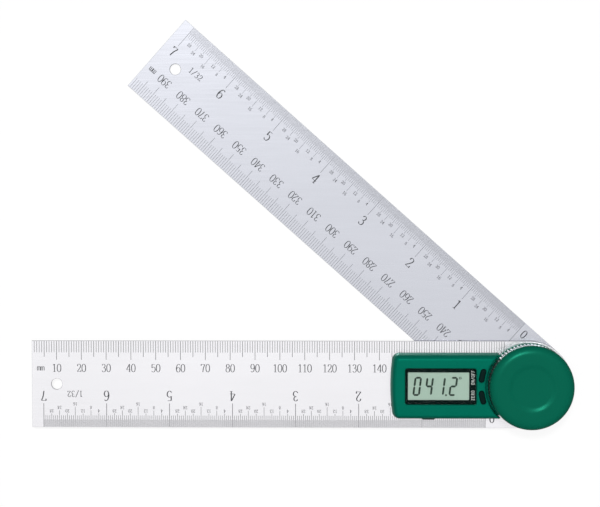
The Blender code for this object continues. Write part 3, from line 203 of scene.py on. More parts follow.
def hand_over(item, body, finish, stands_for=(), soft_angle=32.0):
    """Smooths a piece, gives it its finish, and lets it ride in place of its node."""
    item.data.polygons.foreach_set("use_smooth", np.ones(len(item.data.polygons), bool))
    item.data.set_sharp_from_angle(angle=math.radians(soft_angle))
    work(item, "WEIGHTED_NORMAL", mode="FACE_AREA", keep_sharp=True)
    item.data.materials.clear()
    item.data.materials.append(finish.material)
    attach(item, body)
    if stands_for:
        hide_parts(*stands_for)
    print(item.name, len(item.data.polygons), "faces on", body)


# %% [markdown]
# ## Shader maths as arithmetic
# A finish is a Principled surface whose colour, roughness and bump vary a little from place to
# place. The class below wraps a socket, so that noise times a number plus another number is
# written as it is said. Values that don't vary are set on the shader itself.

# %% Sockets and finishes
def maths(operation, swapped=False):
    """An operator that adds one Math node; swapped is for a number that stands on the left."""
    def method(self, other):
        first, second = (other, self) if swapped else (self, other)
        return self.shading.node("ShaderNodeMath", {"operation": operation}, {0: first, 1: second})
    return method


class Socket:
    """An output of a node, with arithmetic that adds Math nodes."""

    def __init__(self, shading, output):
        self.shading = shading
        self.output = output

    __add__, __radd__ = maths("ADD"), maths("ADD", True)
    __sub__, __rsub__ = maths("SUBTRACT"), maths("SUBTRACT", True)
    __mul__, __rmul__ = maths("MULTIPLY"), maths("MULTIPLY", True)


class Shading:
    """A tree of shader nodes, of a material or of the sky."""

    def __init__(self, tree):
        self.tree = tree

    def node(self, kind, settings=(), values=(), output=0):
        """A node of one kind: first its settings, then its sockets, and the output in use."""
        item = self.tree.nodes.new(kind)
        for key, value in dict(settings).items():
            setattr(item, key, value)
        for key, value in dict(values).items():
            if isinstance(value, Socket):
                self.tree.links.new(value.output, item.inputs[key])
            else:
                item.inputs[key].default_value = value
        return Socket(self, item.outputs[output])

    def feed(self, value, node, name):
        """Links a value to a socket of a node that the tree already has."""
        self.tree.links.new(value.output, self.tree.nodes[node].inputs[name])

    def ramp(self, value, low, high, start, end):
        """Runs from start to end as the value goes from low to high, and stays there."""
        return self.node("ShaderNodeMapRange", {},
                         {"Value": value, 1: low, 2: high, 3: start, 4: end})


class Finish(Shading):
    """A named material: constants on the shader, and varying values linked to it."""

    def __init__(self, name, colour, roughness, **constants):
        self.material = bpy.data.materials.new(name)
        self.material.use_nodes = True
        super().__init__(self.material.node_tree)
        self.colour = colour
        self.roughness = roughness
        constants.update(base_color=(*colour, 1.0), roughness=roughness)
        for key, value in constants.items():
            label = key.replace("_", " ").title().replace("Ior", "IOR")
            self.tree.nodes["Principled BSDF"].inputs[label].default_value = value

    def place(self, scale=(1.0, 1.0, 1.0), turn=0.0):
        """The object's own coordinates, turned about the vertical and scaled."""
        where = self.node("ShaderNodeTexCoord", output="Object")
        return self.node("ShaderNodeMapping", {},
                         {"Vector": where, "Rotation": (0.0, 0.0, turn), "Scale": scale})

    def noise(self, scale, detail=2.0, where=None):
        """Soft noise from 0 to 1, with scale lumps in a metre."""
        where = where or self.place()
        return self.node("ShaderNodeTexNoise", {},
                         {"Vector": where, "Scale": scale, "Detail": detail, "Roughness": 0.55})

    def shade(self, amount, dark, light):
        """Base colour from dark to light times the finish's own, as amount goes 0 to 1."""
        low, high = ([min(1.0, tone * part) for part in self.colour] for tone in (dark, light))
        mixed = self.node("ShaderNodeMix", {"data_type": "RGBA"},
                          {0: amount, 6: (*low, 1.0), 7: (*high, 1.0)}, output=2)
        self.feed(mixed, "Principled BSDF", "Base Color")

    def rough(self, amount, spread):
        """Roughness of the finish's own plus or minus spread, as amount goes 0 to 1."""
        varied = (amount - 0.5) * (2.0 * spread) + self.roughness
        self.feed(varied, "Principled BSDF", "Roughness")

    def bump(self, height, depth, strength):
        """Bump of a depth in millimetres."""
        made = self.node("ShaderNodeBump", {},
                         {"Strength": strength, "Distance": depth * MM, "Height": height})
        self.feed(made, "Principled BSDF", "Normal")


def grained(name, colour, roughness, fine, tones, spread, bump=(), broad=(), **constants):
    """A finish with fine noise for tone, roughness and bump, and broad noise for the tone.

    fine is (scale, detail), bump (depth, strength), broad (scale, detail, share of the tone).
    """
    finish = Finish(name, colour, roughness, **constants)
    grain = tone = finish.noise(*fine)
    if broad:
        scale, detail, share = broad
        tone = finish.noise(scale, detail) * share + grain * (1.0 - share)
    finish.shade(tone, *tones)
    finish.rough(grain, spread)
    if bump:
        finish.bump(grain, *bump)
    return finish


print("shader tools ready")

# %% [markdown]
# ## Satin steel
# The rules are stainless steel with a satin face, brushed along their length. Stretching noise
# nearly a hundred times longer one way than the other gives the hair lines. The swing rule's
# grain is turned with the rule. Its colour is painted a little darker and cooler: painted shade,
# for the darker, bluer reflection that its turned grain throws back; the steel is the same.

# %% Steel for the two rules
def brushed(name, colour, turn):
    """Satin metal: long thin noise for the hair lines, and broad soft noise for the sheen."""
    finish = Finish(name, colour, 0.24, metallic=1.0, specular_tint=(0.5, 0.5, 0.53, 1.0))
    hairs = finish.noise(1.0, 3.0, finish.place((60.0, 5200.0, 5200.0), turn))
    sheen = finish.noise(1.0, 1.0, finish.place((9.0, 16.0, 16.0), turn))
    finish.shade(hairs * 0.35 + sheen * 0.65, 0.90, 1.07)
    finish.rough(hairs, 0.05)
    finish.bump(hairs, 0.0025, 0.5)
    return finish


base_steel = brushed("base_rule_satin_steel", (0.822, 0.816, 0.842), 0.0)
# Same steel as the base rule, with its colour painted darker and cooler: painted shade for the
# darker reflection of its turned grain.
painted_swing_steel = brushed("swing_rule_steel_painted_shade", (0.572, 0.584, 0.636), ARM_ANGLE)
print("two steels")

# %% [markdown]
# ## The rule blades
# Each rule is a strip of steel, square at the far end and half round at the hub. Its outline is
# stacked in thin sections that draw in at both faces, which gives the stamped and tumbled edge.

# %% Rule outline and blade
EDGE_BEVEL = 0.08
HANG_HOLE = (10.0 - rule_length, 0.0)
HANG_RADIUS = 2.2
HANG_CHAMFER = 0.12


def rule_outline(inset):
    """Square end at -X and a half circle about the pivot, drawn in by inset."""
    half = rule_half - inset
    far = inset - rule_length
    return np.concatenate([[(far, half), (far, -half)], arc(half, -np.pi / 2, np.pi / 2, 96)])


def quarter(width, height, steps):
    """Inset and drop of a quarter ellipse: width (1 - cos t) and height (1 - sin t)."""
    turn = np.linspace(0.0, np.pi / 2, steps + 1)
    return list(zip(width * (1.0 - np.cos(turn)), height * (1.0 - np.sin(turn))))


def blade(back, front):
    """Sections from the back face to the front face, with a small bevel at both."""
    return loft([(back, rule_outline(EDGE_BEVEL)), (back + EDGE_BEVEL, rule_outline(0.0)),
                 (front - EDGE_BEVEL, rule_outline(0.0)), (front, rule_outline(EDGE_BEVEL))])


def drilled_blade(name, back, front, turn):
    """A blade with its hang hole, whose cutter is wider at both faces to leave a chamfer."""
    item = mesh_object(name, [blade(back, front)], turn)
    over = 0.5
    wide = HANG_RADIUS + HANG_CHAMFER + over
    hole = [(0.0, back - over), (wide, back - over), (HANG_RADIUS, back + HANG_CHAMFER),
            (HANG_RADIUS, (back + front) / 2), (HANG_RADIUS, front - HANG_CHAMFER),
            (wide, front + over), (0.0, front + over)]
    combine(item, turned(hole, 64, HANG_HOLE), turn=turn)
    return item


base_blade = drilled_blade("base_rule_blade", base_low[2], base_high[2], 0.0)
swing_blade = drilled_blade("swing_rule_blade", swing_low[2], swing_high[2], -ARM_ANGLE)
print("two blades with hang holes")

# %% [markdown]
# ## Holes in the blades
# The base rule has a bore for the bearing bush and four countersinks for the housing's screws.
# The swing rule has a countersink for the stud's head and a hole with two flats that keys it.
# Each screw hole's centre comes from the screw that goes through it. A cutter runs a little past
# both faces, because a cut that ends exactly on a face can fail.

# %% Bores, countersinks and the key
SCREWS = [f"housing_screw_{number}" for number in (1, 2, 3, 4)]
PAST = 0.6
BUSH_BORE = 5.3
SINK_RADIUS, SINK_DEPTH, SHANK_HOLE = 2.0, 0.8, 1.1
STUD_SINK = 7.2
KEY_RADIUS, KEY_FLAT = 4.2, 3.4


def middle(node):
    """Centre of a node's box, seen from above."""
    low, high = corners(node)
    return (low[:2] + high[:2]) / 2


def countersink(centre, back, front):
    """A cone that opens at the back, and the straight hole beyond it."""
    profile = [(0.0, back - PAST), (SINK_RADIUS + PAST, back - PAST),
               (SINK_RADIUS - SINK_DEPTH, back + SINK_DEPTH), (SHANK_HOLE, back + SINK_DEPTH),
               (SHANK_HOLE, front + PAST), (0.0, front + PAST)]
    return turned(profile, 48, centre)


combine(base_blade, rod(BUSH_BORE, base_low[2] - PAST, base_high[2] + PAST, 80),
        *[countersink(middle(name), base_low[2], base_high[2]) for name in SCREWS])
stud_sink = turned([(0.0, -PAST), (STUD_SINK + PAST, -PAST), (STUD_SINK - SINK_DEPTH, SINK_DEPTH),
                    (0.0, SINK_DEPTH)], 96)
side = math.asin(KEY_FLAT / KEY_RADIUS)
two_flats = np.concatenate([arc(KEY_RADIUS, -side, side, 16),
                            arc(KEY_RADIUS, np.pi - side, np.pi + side, 16)])
stud_key = prism(two_flats, -1.0, swing_high[2] + 1.0)
combine(swing_blade, stud_sink, stud_key, turn=-ARM_ANGLE)
hand_over(base_blade, "base", base_steel, ["base_rule"])
hand_over(swing_blade, "swing_arm", painted_swing_steel, ["swing_rule"])

# %% [markdown]
# ## Graduations
# The marks are etched and filled with dark paint. Each one is a bar a hundredth of a millimetre
# proud of the face. All bars of a scale are one array: a box's eight corners are repeated for
# every mark and moved to its place. Distances run from the pivot outwards, and across from the
# rule's middle line.

# %% Bars
PROUD = 0.01
SUNK = 0.02
EDGE_GAP = 0.15
BOX = np.array([(x, y, z) for z in (0, 1) for y in (-1, 1) for x in (-1, 1)], float)
BOX_FACES = np.array([(0, 2, 3, 1), (4, 5, 7, 6), (0, 1, 5, 4),
                      (1, 3, 7, 5), (3, 2, 6, 7), (2, 0, 4, 6)])


def edge_bars(along, side, reach, width, face):
    """Bars that start beside one edge, side +1 or -1, and end at their own reach from it.

    Each is a box of two by two, times half the bar's width and length, moved to its place.
    """
    length = reach - EDGE_GAP
    across = side * (rule_half - EDGE_GAP - length / 2)
    level = np.where(BOX[:, 2] > 0, face + PROUD, face - SUNK)
    points = np.stack([BOX[:, 0] * width[:, None] / 2 - along[:, None],
                       BOX[:, 1] * length[:, None] / 2 + across[:, None],
                       np.broadcast_to(level, (len(along), len(BOX)))], axis=-1)
    faces = BOX_FACES + len(BOX) * np.arange(len(along))[:, None, None]
    return points.reshape(-1, 3), faces.reshape(-1, 4).tolist()


# %% Marks of the two scales
LAST_MILLIMETRE = 190
INCHES = 7
INCH = 25.4
INCH_ZERO = 17.5
SWING_BOLD = 0.64


def millimetre_marks(side, face, bold):
    """A mark each millimetre, longer at each fifth and tenth, from the far end inwards."""
    step = np.arange(1, LAST_MILLIMETRE + 1)
    reach = np.where(step % 10 == 0, 7.7, np.where(step % 5 == 0, 6.5, 4.7))
    width = bold * np.where(step % 5 == 0, 0.2, 0.17)
    return edge_bars(rule_length - step, side, reach, width, face)


def inch_marks(side, face, bold):
    """A mark each sixty-fourth of an inch, in six lengths, from the zero outwards."""
    step = np.arange(0, INCHES * 64 + 1)
    reach = np.full(len(step), 3.1)
    for every, longer in ((2, 4.8), (8, 5.6), (16, 6.8), (32, 8.3), (64, 9.7)):
        reach = np.where(step % every == 0, longer, reach)
    width = bold * np.where(step % 64 == 0, 0.22, np.where(step % 2 == 0, 0.16, 0.12))
    return edge_bars(INCH_ZERO + step * INCH / 64, side, reach, width, face)


print(LAST_MILLIMETRE, "millimetre marks and", INCHES * 64 + 1, "inch marks on each rule")

# %% [markdown]
# ## Numerals drawn with a broad pen
# The numerals have wide uprights and thin bows, as a broad pen gives. A stroke is a smooth
# curve through a few points, and the pen's half width grows with how upright the stroke runs.
# The outline on both sides of the curve is given a height, so each stroke is a closed bar.
# A letter is written as its strokes: L a line, C an open curve and O a closed one, each with
# the x and y of its points in hundredths of the letter's height.

# %% Strokes
GLYPHS = {
    "0": "O 30 100 12 84 7 50 12 16 30 0 48 16 53 50 48 84",
    "1": "L 32 0 32 100 | L 14 84 30 98 | L 14 2 50 2",
    "2": "C 10 74 16 94 32 99 48 88 48 66 32 38 8 6 | L 8 4 52 4 | L 52 0 54 22",
    "3": "C 10 82 22 98 40 94 47 76 38 58 22 53 | C 22 53 42 48 52 27 42 5 22 1 8 16",
    "4": "L 42 0 42 100 | L 40 98 5 30 | L 5 28 57 28 | L 30 2 55 2",
    "5": "L 14 97 48 97 | L 14 98 12 53 | C 12 53 30 63 47 54 53 31 43 6 24 0 8 14",
    "6": "C 50 88 38 99 20 88 9 60 8 34 16 6 31 0 46 7 53 30 45 52 31 59 16 50 10 38",
    "7": "L 8 97 55 97 | L 8 100 7 80 | C 53 96 36 52 28 0",
    "8": "O 30 100 15 90 14 66 30 54 46 66 45 90 | O 30 54 11 43 9 14 30 0 51 14 49 43",
    "9": "C 10 12 22 1 40 12 51 40 52 66 44 94 29 100 14 93 7 70 15 48 29 41 44 50 50 62",
    "/": "L 6 -8 54 108",
    "m": "L 6 0 6 70 | C 6 52 16 68 26 68 33 56 33 0 | C 33 52 42 68 52 68 60 56 60 0",
    "O": "O 30 100 10 84 6 50 10 16 30 0 50 16 54 50 50 84",
    "N": "L 8 0 8 100 | L 8 100 52 0 | L 52 0 52 100",
    "F": "L 10 0 10 100 | L 10 97 52 97 | L 10 52 44 52",
    "Z": "L 8 97 52 97 | L 52 97 8 3 | L 8 3 54 3",
    "E": "L 10 0 10 100 | L 10 97 52 97 | L 10 52 46 52 | L 10 3 54 3",
    "R": "L 10 0 10 100 | C 10 97 36 97 50 86 50 66 36 53 10 53 | L 30 53 54 0",
}


def curve_through(points, steps, closed):
    """A Catmull-Rom curve: between two points it is the cubic whose slopes are half the chords."""
    points = np.asarray(points, float)
    if closed:
        before, first = np.roll(points, 1, axis=0), points
        second, after = np.roll(points, -1, axis=0), np.roll(points, -2, axis=0)
    else:
        padded = np.concatenate([points[:1], points, points[-1:]])
        before, first, second, after = padded[:-3], padded[1:-2], padded[2:-1], padded[3:]
    share = (np.arange(steps) / steps)[None, :, None]
    before, first, second, after = (part[:, None, :] for part in (before, first, second, after))
    curve = 0.5 * (2 * first + (second - before) * share
                   + (2 * before - 5 * first + 4 * second - after) * share ** 2
                   + (3 * first - before - 3 * second + after) * share ** 3)
    curve = curve.reshape(-1, 2)
    return curve if closed else np.concatenate([curve, points[-1:]])


def stroke(points, closed, thick, thin, layer):
    """A bar along a curve: each side is the curve plus or minus the pen's half width across it."""
    ahead = np.roll(points, -1, axis=0) - points if closed else np.gradient(points, axis=0)
    behind = points - np.roll(points, 1, axis=0) if closed else ahead
    run = ahead + behind
    run /= np.linalg.norm(run, axis=1, keepdims=True)
    half = thin + (thick - thin) * np.abs(run[:, 1:2]) ** 1.5
    across = np.column_stack([-run[:, 1], run[:, 0]]) * half
    left, right = points + across, points - across
    top = 1.0 + 0.06 * layer
    grid = np.stack([lift(left, top), lift(right, top), lift(right, 0.0), lift(left, 0.0)], axis=1)
    return surface(grid, loop=closed)


def glyph(letter, pen, steps):
    """A letter one unit high, as a list of strokes."""
    shapes = []
    for layer, text in enumerate(GLYPHS[letter].split("|")):
        kind, *numbers = text.split()
        points = np.array(numbers, float).reshape(-1, 2) / 100
        closed = kind == "O"
        line = points if kind == "L" else curve_through(points, steps, closed)
        shapes.append(stroke(line, closed, *pen, layer))
    return shapes


PEN = (0.066, 0.024)
LETTER_WIDTH = 0.60


def write(text, height, centre, right, face, pen=PEN, steps=5, pitch=0.66):
    """Letters in a row about a centre; right is the reading direction in the rule's own plane.

    A letter's point (x, y, z) goes to centre + height x right + height y up, at the face. The
    pen is its half width on uprights and on level strokes, in letter heights.
    """
    right = np.array(right, float)
    up = np.array([-right[1], right[0]])
    shapes = []
    for index, letter in enumerate(text):
        shift = (index - len(text) / 2) * pitch + (pitch - LETTER_WIDTH) / 2
        for points, faces in glyph(letter, pen, steps):
            x, y = (points[:, 0] + shift) * height, (points[:, 1] - 0.5) * height
            flat = np.asarray(centre, float) + x[:, None] * right + y[:, None] * up
            level = np.where(points[:, 2] > 0, face + PROUD * points[:, 2], face - SUNK)
            shapes.append((np.column_stack([flat, level]), faces))
    return shapes


print(len(GLYPHS), "glyphs")

# %% [markdown]
# ## Two scales on each rule
# One edge counts millimetres in tens, the other inches in thirty-seconds. The base rule counts
# from its far end to the pivot, and the swing rule goes on from there. Each row of numbers
# reads with its feet towards the middle line or the edge, as on the real rules. The paint looks
# thinner on the swing rule, so its marks are narrower.

# %% Numbers along the edges
SMALL_PEN = (0.06, 0.03)
THIRTY_SECONDS = ((4, 6.6), (8, 8.0), (12, 6.6), (16, 9.4), (20, 6.6), (24, 8.0), (28, 6.6))


def edge_text(text, height, along, depth, side, face, **how):
    """Text with its middle so far along from the pivot and so deep from the edge."""
    return write(text, height, (-along, side * (rule_half - depth)), (side, 0.0), face, **how)


def millimetre_numbers(side, face, first, step):
    """Tens in a row, from the far end inwards, and the unit beside them."""
    shapes = edge_text("mm", 2.3, rule_length - 3.5, 10.9, side, face, pen=SMALL_PEN)
    for index in range(1, LAST_MILLIMETRE // 10 + 1):
        shapes += edge_text(str(first + step * index), 3.2, rule_length - 10.0 * index, 11.0, side,
                            face, pen=(0.054, 0.022), pitch=0.60)
    return shapes


def inch_numbers(side, face):
    """Whole inches, and the thirty-seconds between them in a smaller size."""
    shapes = edge_text("0", 3.4, INCH_ZERO - 2.7, 3.8, side, face)
    shapes += edge_text("1/32", 2.4, rule_length - 17.4, 13.5, side, face, pen=SMALL_PEN)
    for inch in range(INCHES):
        start = INCH_ZERO + inch * INCH
        shapes += edge_text(str(inch + 1), 4.0, start + INCH, 12.7, side, face, pen=(0.058, 0.024))
        for part, depth in THIRTY_SECONDS:
            shapes += edge_text(str(part), 1.3, start + part / 32 * INCH, depth, side, face,
                                pen=(0.07, 0.035), steps=1)
    return shapes


scale_paint = grained("scale_paint", (0.045, 0.048, 0.057), 0.55, (900.0, 2.0), (0.6, 1.6), 0.1,
                      (0.002, 0.4))
for name, body, side, face, bold, first, step, turn in (
        ("base_rule_scales", "base", 1, base_high[2], 1.0, 0, 10, 0.0),
        ("swing_rule_scales", "swing_arm", -1, swing_high[2], SWING_BOLD, 400, -10, -ARM_ANGLE)):
    scales = mesh_object(name, [
        millimetre_marks(side, face, bold), inch_marks(-side, face, bold),
        *millimetre_numbers(side, face, first, step), *inch_numbers(-side, face)], turn)
    hand_over(scales, body, scale_paint)

# %% [markdown]
# ## Moulded green plastic
# The housing and the knob's cap are the same kind of satin plastic. The cap's colour is painted
# a shade deeper and yellower: painted shade, for the knob lying darker in the light than the
# housing. The colour is deep, so plain gloss would lay a grey veil over it. A small metallic
# share makes the highlights green instead. A very fine grain breaks them up, as a spark-eroded
# mould leaves it, and broad noise keeps large faces from looking flat.

# %% Green finish
def moulded(name, colour, roughness, grain, **constants):
    """Plastic with mould grain: fine noise for the bump, broad noise for the tone."""
    return grained(name, colour, roughness, (grain, 2.0), (0.9, 1.1), 0.06, (0.012, 0.35),
                   (55.0, 2.0, 0.7), **constants)


GREEN_GRAIN = 4200.0
GREEN_TINT = (0.6, 0.7, 0.7, 1.0)
green = moulded("green_housing_plastic", (0.0012, 0.149, 0.096), 0.28, GREEN_GRAIN,
                metallic=0.22, specular_ior_level=0.004, specular_tint=GREEN_TINT)
# The cap's deeper green is painted shade: the same plastic as the housing, drawn darker where the
# knob gets less light.
painted_shade_cap_green = moulded("green_cap_plastic_painted_shade", (0.0012, 0.124, 0.074), 0.30, GREEN_GRAIN,
                    metallic=0.24, specular_ior_level=0.05, specular_tint=GREEN_TINT)
print("two green finishes, the knob's a shade deeper")

# %% [markdown]
# ## The housing
# Its plan is a chain of circles that touch: a bulged end, two corners, straight sides, two small
# tips and a hollow arc that follows the knob. The lower side stands further out than the upper.
# Drawing the chain in as it rises gives drafted walls and a rounded top, and the top is crowned
# a little. The collar is a turned ring, and the cavity, display seat, button holes and tray
# mouth are cut from the joined solid, so that the real thin shell is there.

# %% Housing outline
REACH = -seat_low[0]
WIDE, WIDE_BELOW = 12.9, 13.65
GROOVE = knob_radius + 0.6
BULGE, CORNER, TIP = 83.0, 3.0, 0.35
SEAT = seat_low[2]
ROOF = roof_high[2]
LEAN = 0.8
ROUND = 1.7
CROWN = 0.3
CAVITY_ROOF = ROOF - 1.4


def half_outline(half, side_inset, arc_inset):
    """The chain from the middle of the bulged end, over a corner and a tip, to the arc."""
    bulge = BULGE - side_inset
    bulge_x = BULGE - REACH
    corner = max(CORNER - side_inset, 0.5)
    corner_reach = math.sqrt((bulge - corner) ** 2 - (half - corner) ** 2)
    corner_turn = math.atan2(half - corner, -corner_reach)
    hollow = GROOVE + arc_inset
    tip_x = -math.sqrt((hollow + TIP) ** 2 - (half - TIP) ** 2)
    tip_turn = math.atan2(half - TIP, tip_x)
    return np.concatenate([
        arc(bulge, np.pi, corner_turn, 12, bulge_x)[:-1],
        arc(corner, corner_turn, np.pi / 2, 14, bulge_x - corner_reach, half - corner),
        arc(TIP, np.pi / 2, tip_turn - np.pi, 12, tip_x, half - TIP)[:-1],
        arc(hollow, tip_turn, np.pi, 28)])


def housing_outline(side_inset, arc_inset):
    """Bulged end, corners, straight sides and hollow arc, drawn in by the two insets."""
    upper = half_outline(WIDE - side_inset, side_inset, arc_inset)
    lower = half_outline(WIDE_BELOW - side_inset, side_inset, arc_inset)
    return np.concatenate([upper, lower[-2:0:-1] * (1.0, -1.0)])


def rounded(left, right, bottom, top, radius):
    """A rectangle with round corners."""
    middles = [(right - radius, top - radius), (left + radius, top - radius),
               (left + radius, bottom + radius), (right - radius, bottom + radius)]
    return np.concatenate([
        arc(radius, corner * np.pi / 2, (corner + 1) * np.pi / 2, 8, *place)
        for corner, place in enumerate(middles)])


print("outline of", len(housing_outline(0, 0)), "points")

# %% Housing shell
def side_profile():
    """Heights and insets of the wall: the height's share is sin(t)^0.4.

    The inset is lean times share plus round times (1 - cos t).
    """
    turn = np.linspace(0.0, math.radians(88.0), 19)
    share = np.sin(turn) ** 0.4
    return zip(SEAT + (ROOF - CROWN - SEAT) * share, LEAN * share + ROUND * (1.0 - np.cos(turn)))


def crown_profile():
    """Heights and insets of the top: it rises to the middle as 1 - (1 - way)^2."""
    way = np.linspace(0.0, 0.85, 8)[1:]
    return zip(ROOF - CROWN * (1.0 - way) ** 2, LEAN + ROUND + (WIDE - LEAN - ROUND) * way)


skin = [(height, housing_outline(inset, inset * 0.35))
        for height, inset in (*side_profile(), *crown_profile())]
housing = mesh_object("housing_shell", [loft(skin)])

HUB_BORE = 7.3
TOWER, TOWER_TOP = 14.4, 6.5
COLLAR, COLLAR_TOP = 16.8, 5.0
SENSOR, SENSOR_ROOF = 13.6, 5.6
BOSS, PILOT, PILOT_TOP = 1.7, 1.1, 6.5
NECK_HALF, NECK_TOP = 4.8, 4.1
collar = [(HUB_BORE, TOWER_TOP), (TOWER - 0.4, TOWER_TOP), (TOWER - 0.12, TOWER_TOP - 0.12),
          (TOWER, TOWER_TOP - 0.4), (TOWER, COLLAR_TOP), (COLLAR - 0.2, COLLAR_TOP),
          (COLLAR, COLLAR_TOP - 0.2), (COLLAR, SEAT), (SENSOR, SEAT), (SENSOR, SENSOR_ROOF),
          (HUB_BORE, SENSOR_ROOF)]
bridge_half = WIDE - 0.8
bridge = block(-GROOVE - 1.8, -8.75, -bridge_half, bridge_half, SEAT + 0.2, COLLAR_TOP - 0.2)
neck = block(-GROOVE - 1.9, 0.0, -NECK_HALF, NECK_HALF, SEAT - 1.0, NECK_TOP)
cavity = prism(housing_outline(1.7, 0.8), SEAT - 1.0, CAVITY_ROOF)
combine(housing, bridge, operation="UNION")
combine(housing, rod(TOWER - 0.2, SEAT + 0.1, SENSOR_ROOF - 0.3, 120))
combine(housing, turned(collar, 160, closed=True), operation="UNION")
combine(housing, neck, cavity)
combine(housing, *[rod(BOSS, SEAT, CAVITY_ROOF + 0.2, 32, middle(name)) for name in SCREWS],
        operation="UNION")
combine(housing, *[rod(PILOT, SEAT - 1.0, PILOT_TOP, 24, middle(name)) for name in SCREWS])
print("housing shell of", len(skin), "outlines")

# %% [markdown]
# ## Openings in the housing
# The display window drops into a shallow seat, the two buttons stand in kidney-shaped holes
# along the knob's arc, and the battery tray's mouth opens at the lower side. The cutters flare
# a little at the outside, so each edge keeps the small chamfer that catches the light.

# %% Window seat, button holes, tray mouth
BUTTON_TURN = math.radians(12.8)
BUTTONS = {"button_on_off": math.pi - BUTTON_TURN, "button_zero": math.pi + BUTTON_TURN}
BUTTON_INNER = GROOVE + 0.8 + 0.55
BUTTON_OUTER = BUTTON_INNER + 2.0
BUTTON_HALF_TURN = math.radians(4.8)
WINDOW_CORNER = 1.0
GAP = 0.3
MOUTH_TOP = 5.9


def kidney(turn, grow):
    """A button's outline: a band along an arc about the pivot with round ends, grown all round."""
    inner, outer = BUTTON_INNER - grow, BUTTON_OUTER + grow
    centre, cap = (inner + outer) / 2, (outer - inner) / 2
    start, end = turn - BUTTON_HALF_TURN, turn + BUTTON_HALF_TURN
    caps = [arc(cap, first, first + np.pi, 16, centre * math.cos(at), centre * math.sin(at))[1:-1]
            for first, at in ((end, end), (start + np.pi, start))]
    return np.concatenate([arc(outer, start, end, 16), caps[0],
                           arc(inner, end, start, 16), caps[1]])


def window_outline(grow):
    """The window's rectangle, grown all round."""
    return rounded(window_low[0] - grow, window_high[0] + grow, window_low[1] - grow,
                   window_high[1] + grow, WINDOW_CORNER + grow)


window_low, window_high = corners("display_window")
window_low[0] += 0.4
lcd_low, lcd_high = corners("lcd_panel")
tray_low, tray_high = corners("battery_tray")
tray_middle = (tray_low[0] + tray_high[0]) / 2
tray_half = (tray_high[0] - tray_low[0]) / 2 + GAP
seat_cut = loft([(window_low[2] - 0.2, window_outline(0.2)), (ROOF - 0.15, window_outline(0.2)),
                 (ROOF + 0.5, window_outline(0.85))])
lcd_cut = block(lcd_low[0] - GAP, lcd_high[0] + GAP, lcd_low[1] - GAP, lcd_high[1] + GAP,
                CAVITY_ROOF - 1.0, ROOF)
mouth_cut = block(tray_middle - tray_half, tray_middle + tray_half, -WIDE - 1.0, -WIDE / 2,
                  SEAT - 1.0, MOUTH_TOP)
button_rows = ((CAVITY_ROOF - 1.0, 0.2), (ROOF - 0.12, 0.2), (ROOF + 0.38, 0.5))
button_cuts = [loft([(height, kidney(turn, grow)) for height, grow in button_rows])
               for turn in BUTTONS.values()]
combine(housing, seat_cut, lcd_cut, mouth_cut, *button_cuts)
hand_over(housing, "base", green, ["housing"], 28.0)

# %% [markdown]
# ## The battery tray's finger lip
# A fingernail draws the tray out by a small dark lip at the housing's lower side. It is lofted
# through three round-cornered outlines, is widest in the middle, and stands 0.2 mm out of the
# wall, so that its edge shows from above.

# %% Finger lip
def black_print(name, colour, roughness, gloss):
    """Dark satin: a touch of fine noise in tone and sheen."""
    return grained(name, colour, roughness, (1600.0, 2.0), (0.8, 1.25), 0.05, (0.004, 0.3),
                   specular_ior_level=gloss)


lip_black = black_print("tray_lip_black", (0.004, 0.014, 0.012), 0.5, 0.05)
lip_middle = tray_middle + 0.4
lip_rows = [(height, rounded(lip_middle - half, lip_middle + half, reach - WIDE_BELOW,
                             1.3 - WIDE_BELOW, 0.7))
            for height, half, reach in ((4.0, 2.5, -0.1), (4.7, 2.75, -0.2), (5.5, 2.65, -0.15))]
tray_lip = mesh_object("tray_finger_lip", [loft(lip_rows)])
hand_over(tray_lip, "battery_tray", lip_black)

# %% [markdown]
# ## The display
# Under a clear window lies a black printed border, and behind its opening the grey-green glass.
# The figures are plates a few hundredths thick on the glass: slanted bars with pointed ends,
# seven to a digit. The reading is a plain angle. The window's clear plastic is a mix of a
# transparent and a glossy shader, ruled by how glancing the view is.

# %% Window pane and printed border
border_ink = black_print("window_border_ink", (0.0010, 0.0080, 0.0072), 0.4, 0.02)
LCD_OPEN = (-48.85, -24.45, -5.43, 5.63)
LCD_CORNER = 0.35
PANE_ROUND = 0.1
pane_bottom = window_low[2] + 0.16

border = mesh_object("window_border", [
    prism(window_outline(-0.02), window_low[2], pane_bottom - 0.03)])
combine(border, prism(rounded(*LCD_OPEN, LCD_CORNER), window_low[2] - 0.5, pane_bottom + 0.5))
hand_over(border, "base", border_ink)

pane_rows = [(pane_bottom, window_outline(0.0))]
pane_rows += [(window_high[2] - drop, window_outline(-inset))
              for inset, drop in quarter(PANE_ROUND, PANE_ROUND, 5)]
pane = mesh_object("window_pane", [loft(pane_rows)])
clear = Finish("window_clear_plastic", (0.02, 0.022, 0.022), 0.08)
see_through = clear.node("ShaderNodeBsdfTransparent", {}, {"Color": (0.97, 0.985, 0.975, 1.0)})
gloss = clear.node("ShaderNodeBsdfGlossy", {}, {"Roughness": 0.06})
glance = clear.node("ShaderNodeLayerWeight", {}, {"Blend": 0.2})
clear_mix = clear.node("ShaderNodeMixShader", {},
                       {0: glance * 0.16 + 0.001, 1: see_through, 2: gloss})
clear.feed(clear_mix, "Material Output", "Surface")
hand_over(pane, "base", clear, ["display_window"])

# %% Figures on the glass
DIGIT_HEIGHT, DIGIT_WIDTH = 7.7, 3.0
BAR = 0.8
SLANT = 0.125
SEGMENTS = {"0": "abcdef", "1": "bc", "2": "abged", "4": "fgbc"}
READING = (("0", -47.1), ("4", -42.35), ("1", -37.6), ("2", -32.75))
ink_low, ink_high = lcd_high[2] + 0.02, lcd_high[2] + 0.05


